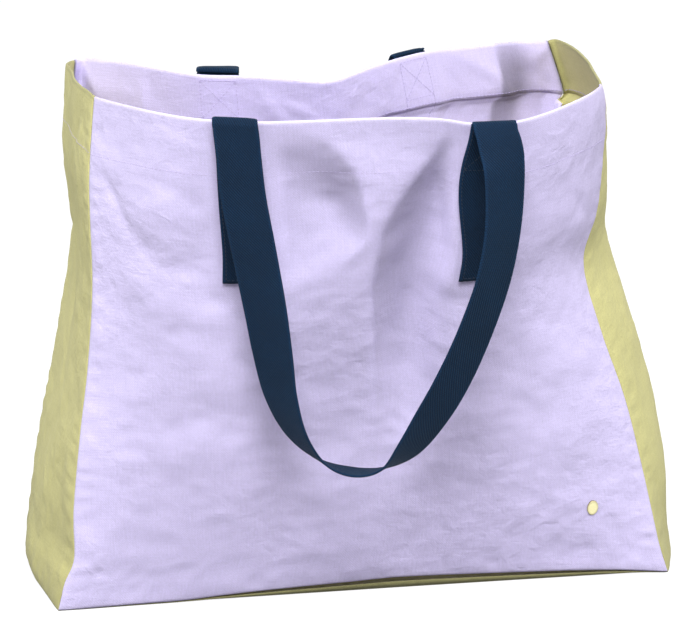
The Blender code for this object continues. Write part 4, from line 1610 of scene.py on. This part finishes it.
def canvas(kind):
    return stocked("washed_" + kind + "_canvas", washed_canvas, tuple(getattr(colors(), kind)))


def webbing():
    return stocked("navy_twill_webbing", twill_webbing, tuple(colors().navy), sizes().webbing_width)


def thread(kind):
    return stocked(kind + "_sewing_thread", sewing_thread, tuple(getattr(colors(), kind + "_thread")))


# Operators


class TOTE_OT_cloth_sides(Operator):
    """Add the two lilac panels and the two olive gussets, with their hems and turned-in seams"""

    bl_idname = "tote_bag.cloth_sides"
    bl_label = "Cloth Sides"

    def execute(self, context):
        ring = zip(SIDES, SIDES[-1:] + SIDES, SIDES[1:] + SIDES[:1])
        for side, before, after in ring:
            kind = "lilac" if side.name.endswith("panel") else "olive"
            piece = add_side(side, before, after, canvas(kind))
        return {"FINISHED"}


class TOTE_OT_base(Operator):
    """Add the olive base"""

    bl_idname = "tote_bag.base"
    bl_label = "Base"

    def execute(self, context):
        piece = add_base(canvas("olive"))
        return {"FINISHED"}


class TOTE_OT_hem_stitching(Operator):
    """Add the line of stitches above the lower edge of the hem, inside and outside"""

    bl_idname = "tote_bag.hem_stitching"
    bl_label = "Hem Stitching"

    def execute(self, context):
        given = sizes()
        up = height_share(given.hem_depth - HEM_STITCH_RISE)
        half_thread = given.thread_thickness / 2
        inward = 1.5 * given.cloth_thickness + LAYER_GAP + half_thread * 0.6 + THREAD_CLEARANCE
        inside = []
        outside = []
        for side in SIDES:
            ends = HEM_STITCH_END / side.width
            shares = np.linspace(ends, 1 - ends, round(side.width / HEM_STITCH_STEP))
            ups = np.full_like(shares, up)
            facing = side.facing(shares, ups)
            inside.append((side.cloth(shares, ups, -inward), -facing))
            places = side.cloth(shares, ups, given.cloth_thickness / 2 + half_thread * 0.1)
            for shown in self.between_straps(side, shares, up):
                outside.append((places[shown], facing[shown]))
        lilac = (thread("lilac"), "lilac_thread")
        piece = add_stitches("hem_topstitching", inside, *lilac, given.thread_thickness, 0.3)
        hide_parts("hem_stitching")
        add_stitches("hem_topstitching_outside", outside, *lilac, given.thread_thickness * 0.7, 0.2)
        return {"FINISHED"}

    def between_straps(self, side, shares, up):
        """Which places along a side lie clear of its straps, in one group for each stretch between them."""
        stops = []
        if side.name.endswith("panel"):
            reach = (sizes().webbing_width / 2 + STITCH_FROM_STRAP) / side.width
            for middle in strap_middles(side, up):
                stops += [middle - reach, middle + reach]
        limits = [0, *stops, 1]
        return [(shares > first) & (shares < last) for first, last in zip(limits[::2], limits[1::2])]


class TOTE_OT_handles(Operator):
    """Add both webbing handles, their sewn ends and the stitching that holds them"""

    bl_idname = "tote_bag.handles"
    bl_label = "Handles"

    def execute(self, context):
        handles = (
            ("front_handle", FRONT, FRONT_LOOP_SHARES, ("left", "right")),
            ("back_handle", BACK, BACK_LOOP_SHARES, ("right", "left")),
        )
        for name, side, route_shares, ends in handles:
            crests = CRESTS[name]
            verts, faces, coords = webbing_mesh(*handle_route(side, route_shares, crests))
            loop = add_piece(name + "_webbing", verts, faces, webbing(), name, coords)
            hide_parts(name + "_loop")
            for end, centre, crest, fold in zip(ends, strap_centres(side), crests, fold_points(side)):
                end_name = f"{name}_{end}_end"
                add_sewn_end(end_name + "_webbing", side, centre, crest[3], fold, webbing(), end_name)
                self.sew(end_name, side, centre, crest[3])
        return {"FINISHED"}

    def sew(self, end_name, side, centre, bow):
        """The box with a cross and the rows down both edges, outside on the webbing and inside."""
        given = sizes()
        half = (given.webbing_width / 2 - STITCH_INSET) / side.width
        high = height_share(STITCH_INSET + STITCH_FROM_RIM)
        box_low = height_share(STITCH_INSET + STITCH_FROM_RIM + given.cross_box_height)
        low = height_share(SEWN_LENGTH - STITCH_INSET)
        hem_low = height_share(given.hem_depth)
        left, right = centre - half, centre + half
        corners = (
            ((left, high), (left, low)),
            ((left, low), (right, low)),
            ((right, low), (right, high)),
            ((right, high), (left, high)),
            ((left, box_low), (right, box_low)),
            ((left, high), (right, box_low)),
            ((right, high), (left, box_low)),
        )
        outer = webbing_offset() + given.webbing_thickness / 2
        fold = given.cloth_thickness + LAYER_GAP
        outside = []
        inside = []
        for (start_across, start_up), (end_across, end_up) in corners:
            steps = np.linspace(0, 1, STITCH_STEPS)
            across = start_across + (end_across - start_across) * steps
            ups = start_up + (end_up - start_up) * steps
            middle_share = bowed(side, centre, bow, ups)
            across = across + middle_share - centre
            facing = side.facing(across, ups)
            lift = relief(side, middle_share, ups)
            flat = self.on_webbing(side, middle_share, across, ups, outer + lift)
            outside.append((flat, facing))
            depth = given.cloth_thickness / 2 + np.where(ups > hem_low, fold, 0) + THREAD_CLEARANCE
            inside.append((side.cloth(across, ups, -depth), -facing))
        thick = given.thread_thickness
        piece = add_stitches(end_name + "_thread", outside, thread("navy"), "navy_thread", thick)
        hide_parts(end_name + "_stitching")
        add_stitches(end_name + "_thread_inside", inside, thread("lilac"), "lilac_thread", thick * 0.8)

    def on_webbing(self, side, centre, across, ups, outward):
        """Places on the flat face of a sewn end, which is level between its two edges."""
        half = sizes().webbing_width / 2 / side.width
        left, right = strap_edges(side, centre, ups, outward)
        return mixed(left, right, (across - (centre - half)) / (2 * half))


class TOTE_OT_badge(Operator):
    """Add the small plain oval badge low on the front panel"""

    bl_idname = "tote_bag.badge"
    bl_label = "Badge"

    def execute(self, context):
        low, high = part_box("badge")
        middle = (low + high) / 2
        across, up = 1 - BADGE_FROM_SEAM / FRONT.width, BADGE_RISE / BAG_HEIGHT
        facing = Vector(FRONT.facing(np.array(across), np.array(up)))
        aside = Vector((0, 0, 1)).cross(facing).normalized()
        over = facing.cross(aside)
        shape = bmesh.new()
        rings = []
        rims = []
        for share, rise, rim in BADGE_ROWS:
            ring = []
            for number in range(BADGE_SIDES):
                turn = number * 2 * math.pi / BADGE_SIDES
                spot = aside * math.cos(turn) * BADGE_WIDTH / 2 * share
                spot = spot + over * math.sin(turn) * BADGE_HEIGHT / 2 * share
                ring.append(shape.verts.new(middle + spot + facing * rise * BADGE_THICKNESS))
                rims.append(rim)
            rings.append(ring)
        for inner, outer in zip(rings[1:], rings):
            for number in range(BADGE_SIDES):
                following = (number + 1) % BADGE_SIDES
                shape.faces.new((outer[number], outer[following], inner[following], inner[number]))
        shape.faces.new(rings[-1])
        shape.faces.new(list(reversed(rings[0])))
        mesh = bpy.data.meshes.new("badge_plate")
        shape.to_mesh(mesh)
        shape.free()
        mesh.materials.append(stocked("pressed_gold_plate", pressed_metal, tuple(colors().gold)))
        mesh.shade_smooth()
        attribute = mesh.attributes.new("rim", "FLOAT", "POINT")
        attribute.data.foreach_set("value", rims)
        badge = bpy.data.objects.new("badge_plate", mesh)
        bag_collection().objects.link(badge)
        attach(badge, "bag")
        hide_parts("badge")
        return {"FINISHED"}


class TOTE_OT_stage(Operator):
    """Add the floor, the lamps, the room light and the camera"""

    bl_idname = "tote_bag.stage"
    bl_label = "Stage"

    def execute(self, context):
        scene = context.scene
        given = scene.tote_stage
        scene.view_settings.view_transform = "Standard"
        self.add_floor()
        self.light_room(scene, given.world_light)
        for name, place, target, size, power, times in LAMPS:
            self.add_lamp(name, place, target, size, getattr(given, power) * times)
        camera_data = bpy.data.cameras.new("camera")
        camera_data.lens = given.lens
        camera_data.sensor_width = SENSOR_WIDTH
        camera = bpy.data.objects.new("camera", camera_data)
        camera.location = CAMERA_PLACE
        camera.rotation_euler = (math.radians(90 - CAMERA_LOWERED), 0, math.radians(CAMERA_TURNED))
        scene.collection.objects.link(camera)
        scene.camera = camera
        return {"FINISHED"}

    def seen_rays(self, tree):
        """1 for what the camera sees, straight or mirrored in something glossy, and 0 for the rest."""
        paths = tree.nodes.new("ShaderNodeLightPath")
        seen = tree.nodes.new("ShaderNodeMath")
        seen.operation = "MAXIMUM"
        tree.links.new(paths.outputs["Is Camera Ray"], seen.inputs[0])
        tree.links.new(paths.outputs["Is Glossy Ray"], seen.inputs[1])
        return seen.outputs[0]

    def add_floor(self):
        shape = bmesh.new()
        bmesh.ops.create_grid(shape, x_segments=2, y_segments=2, size=FLOOR_SIZE)
        mesh = bpy.data.meshes.new("floor")
        shape.to_mesh(mesh)
        shape.free()
        floor = bpy.data.objects.new("floor", mesh)
        bpy.context.scene.collection.objects.link(floor)
        paint = bpy.data.materials.new("floor_paint")
        paint.use_nodes = True
        shader = paint.node_tree.nodes["Principled BSDF"]
        shader.inputs["Base Color"].default_value = FLOOR_COLOR
        shader.inputs["Roughness"].default_value = 0.9
        shader.inputs["Specular IOR Level"].default_value = 0.1
        nodes, links = paint.node_tree.nodes, paint.node_tree.links
        lift = nodes.new("ShaderNodeMath")
        lift.operation = "MULTIPLY"
        lift.inputs[1].default_value = FLOOR_LIFT
        links.new(self.seen_rays(paint.node_tree), lift.inputs[0])
        glow = nodes.new("ShaderNodeEmission")
        links.new(lift.outputs[0], glow.inputs["Strength"])
        both = nodes.new("ShaderNodeAddShader")
        links.new(shader.outputs[0], both.inputs[0])
        links.new(glow.outputs[0], both.inputs[1])
        links.new(both.outputs[0], nodes["Material Output"].inputs["Surface"])
        mesh.materials.append(paint)

    def light_room(self, scene, strength):
        """Even light all round, and a white background where the camera sees it."""
        world = bpy.data.worlds.new("studio")
        world.use_nodes = True
        scene.world = world
        nodes, links = world.node_tree.nodes, world.node_tree.links
        room = nodes["Background"]
        room.inputs["Color"].default_value = (1, 1, 1, 1)
        room.inputs["Strength"].default_value = strength
        white = nodes.new("ShaderNodeBackground")
        white.inputs["Color"].default_value = (1, 1, 1, 1)
        white.inputs["Strength"].default_value = 1
        either = nodes.new("ShaderNodeMixShader")
        links.new(self.seen_rays(world.node_tree), either.inputs[0])
        links.new(room.outputs[0], either.inputs[1])
        links.new(white.outputs[0], either.inputs[2])
        links.new(either.outputs[0], nodes["World Output"].inputs["Surface"])

    def add_lamp(self, name, place, target, size, power):
        data = bpy.data.lights.new(name, "AREA")
        data.shape = "DISK"
        data.size = size
        data.energy = power
        lamp = bpy.data.objects.new(name, data)
        lamp.location = place
        lamp.rotation_euler = (Vector(target) - Vector(place)).to_track_quat("-Z", "Y").to_euler()
        bpy.context.scene.collection.objects.link(lamp)


class TOTE_PT_bag(Panel):
    """The bag's pieces, sizes and colours"""

    bl_idname = "TOTE_PT_bag"
    bl_label = "Tote Bag"
    bl_space_type = "VIEW_3D"
    bl_region_type = "UI"
    bl_category = "Tote Bag"

    def draw(self, context):
        column = self.layout.column(align=True)
        for step in STEPS:
            column.operator(step.bl_idname)
        for group in (context.scene.tote_sizes, context.scene.tote_colors, context.scene.tote_stage):
            box = self.layout.box()
            for name in group.__annotations__:
                box.prop(group, name)


STEPS = (
    TOTE_OT_base,
    TOTE_OT_cloth_sides,
    TOTE_OT_hem_stitching,
    TOTE_OT_handles,
    TOTE_OT_badge,
    TOTE_OT_stage,
)
CLASSES = (TOTE_PG_sizes, TOTE_PG_colors, TOTE_PG_stage, *STEPS, TOTE_PT_bag)


def register():
    for each in CLASSES:
        bpy.utils.register_class(each)
    bpy.types.Scene.tote_sizes = PointerProperty(type=TOTE_PG_sizes)
    bpy.types.Scene.tote_colors = PointerProperty(type=TOTE_PG_colors)
    bpy.types.Scene.tote_stage = PointerProperty(type=TOTE_PG_stage)


def unregister():
    del bpy.types.Scene.tote_stage
    del bpy.types.Scene.tote_colors
    del bpy.types.Scene.tote_sizes
    for each in reversed(CLASSES):
        bpy.utils.unregister_class(each)


def main():
    register()
    bpy.ops.tote_bag.base()
    bpy.ops.tote_bag.cloth_sides()
    bpy.ops.tote_bag.hem_stitching()
    bpy.ops.tote_bag.handles()
    bpy.ops.tote_bag.badge()
    bpy.ops.tote_bag.stage()
    bpy.context.view_layer.update()


if __name__ == "__main__":
    main()
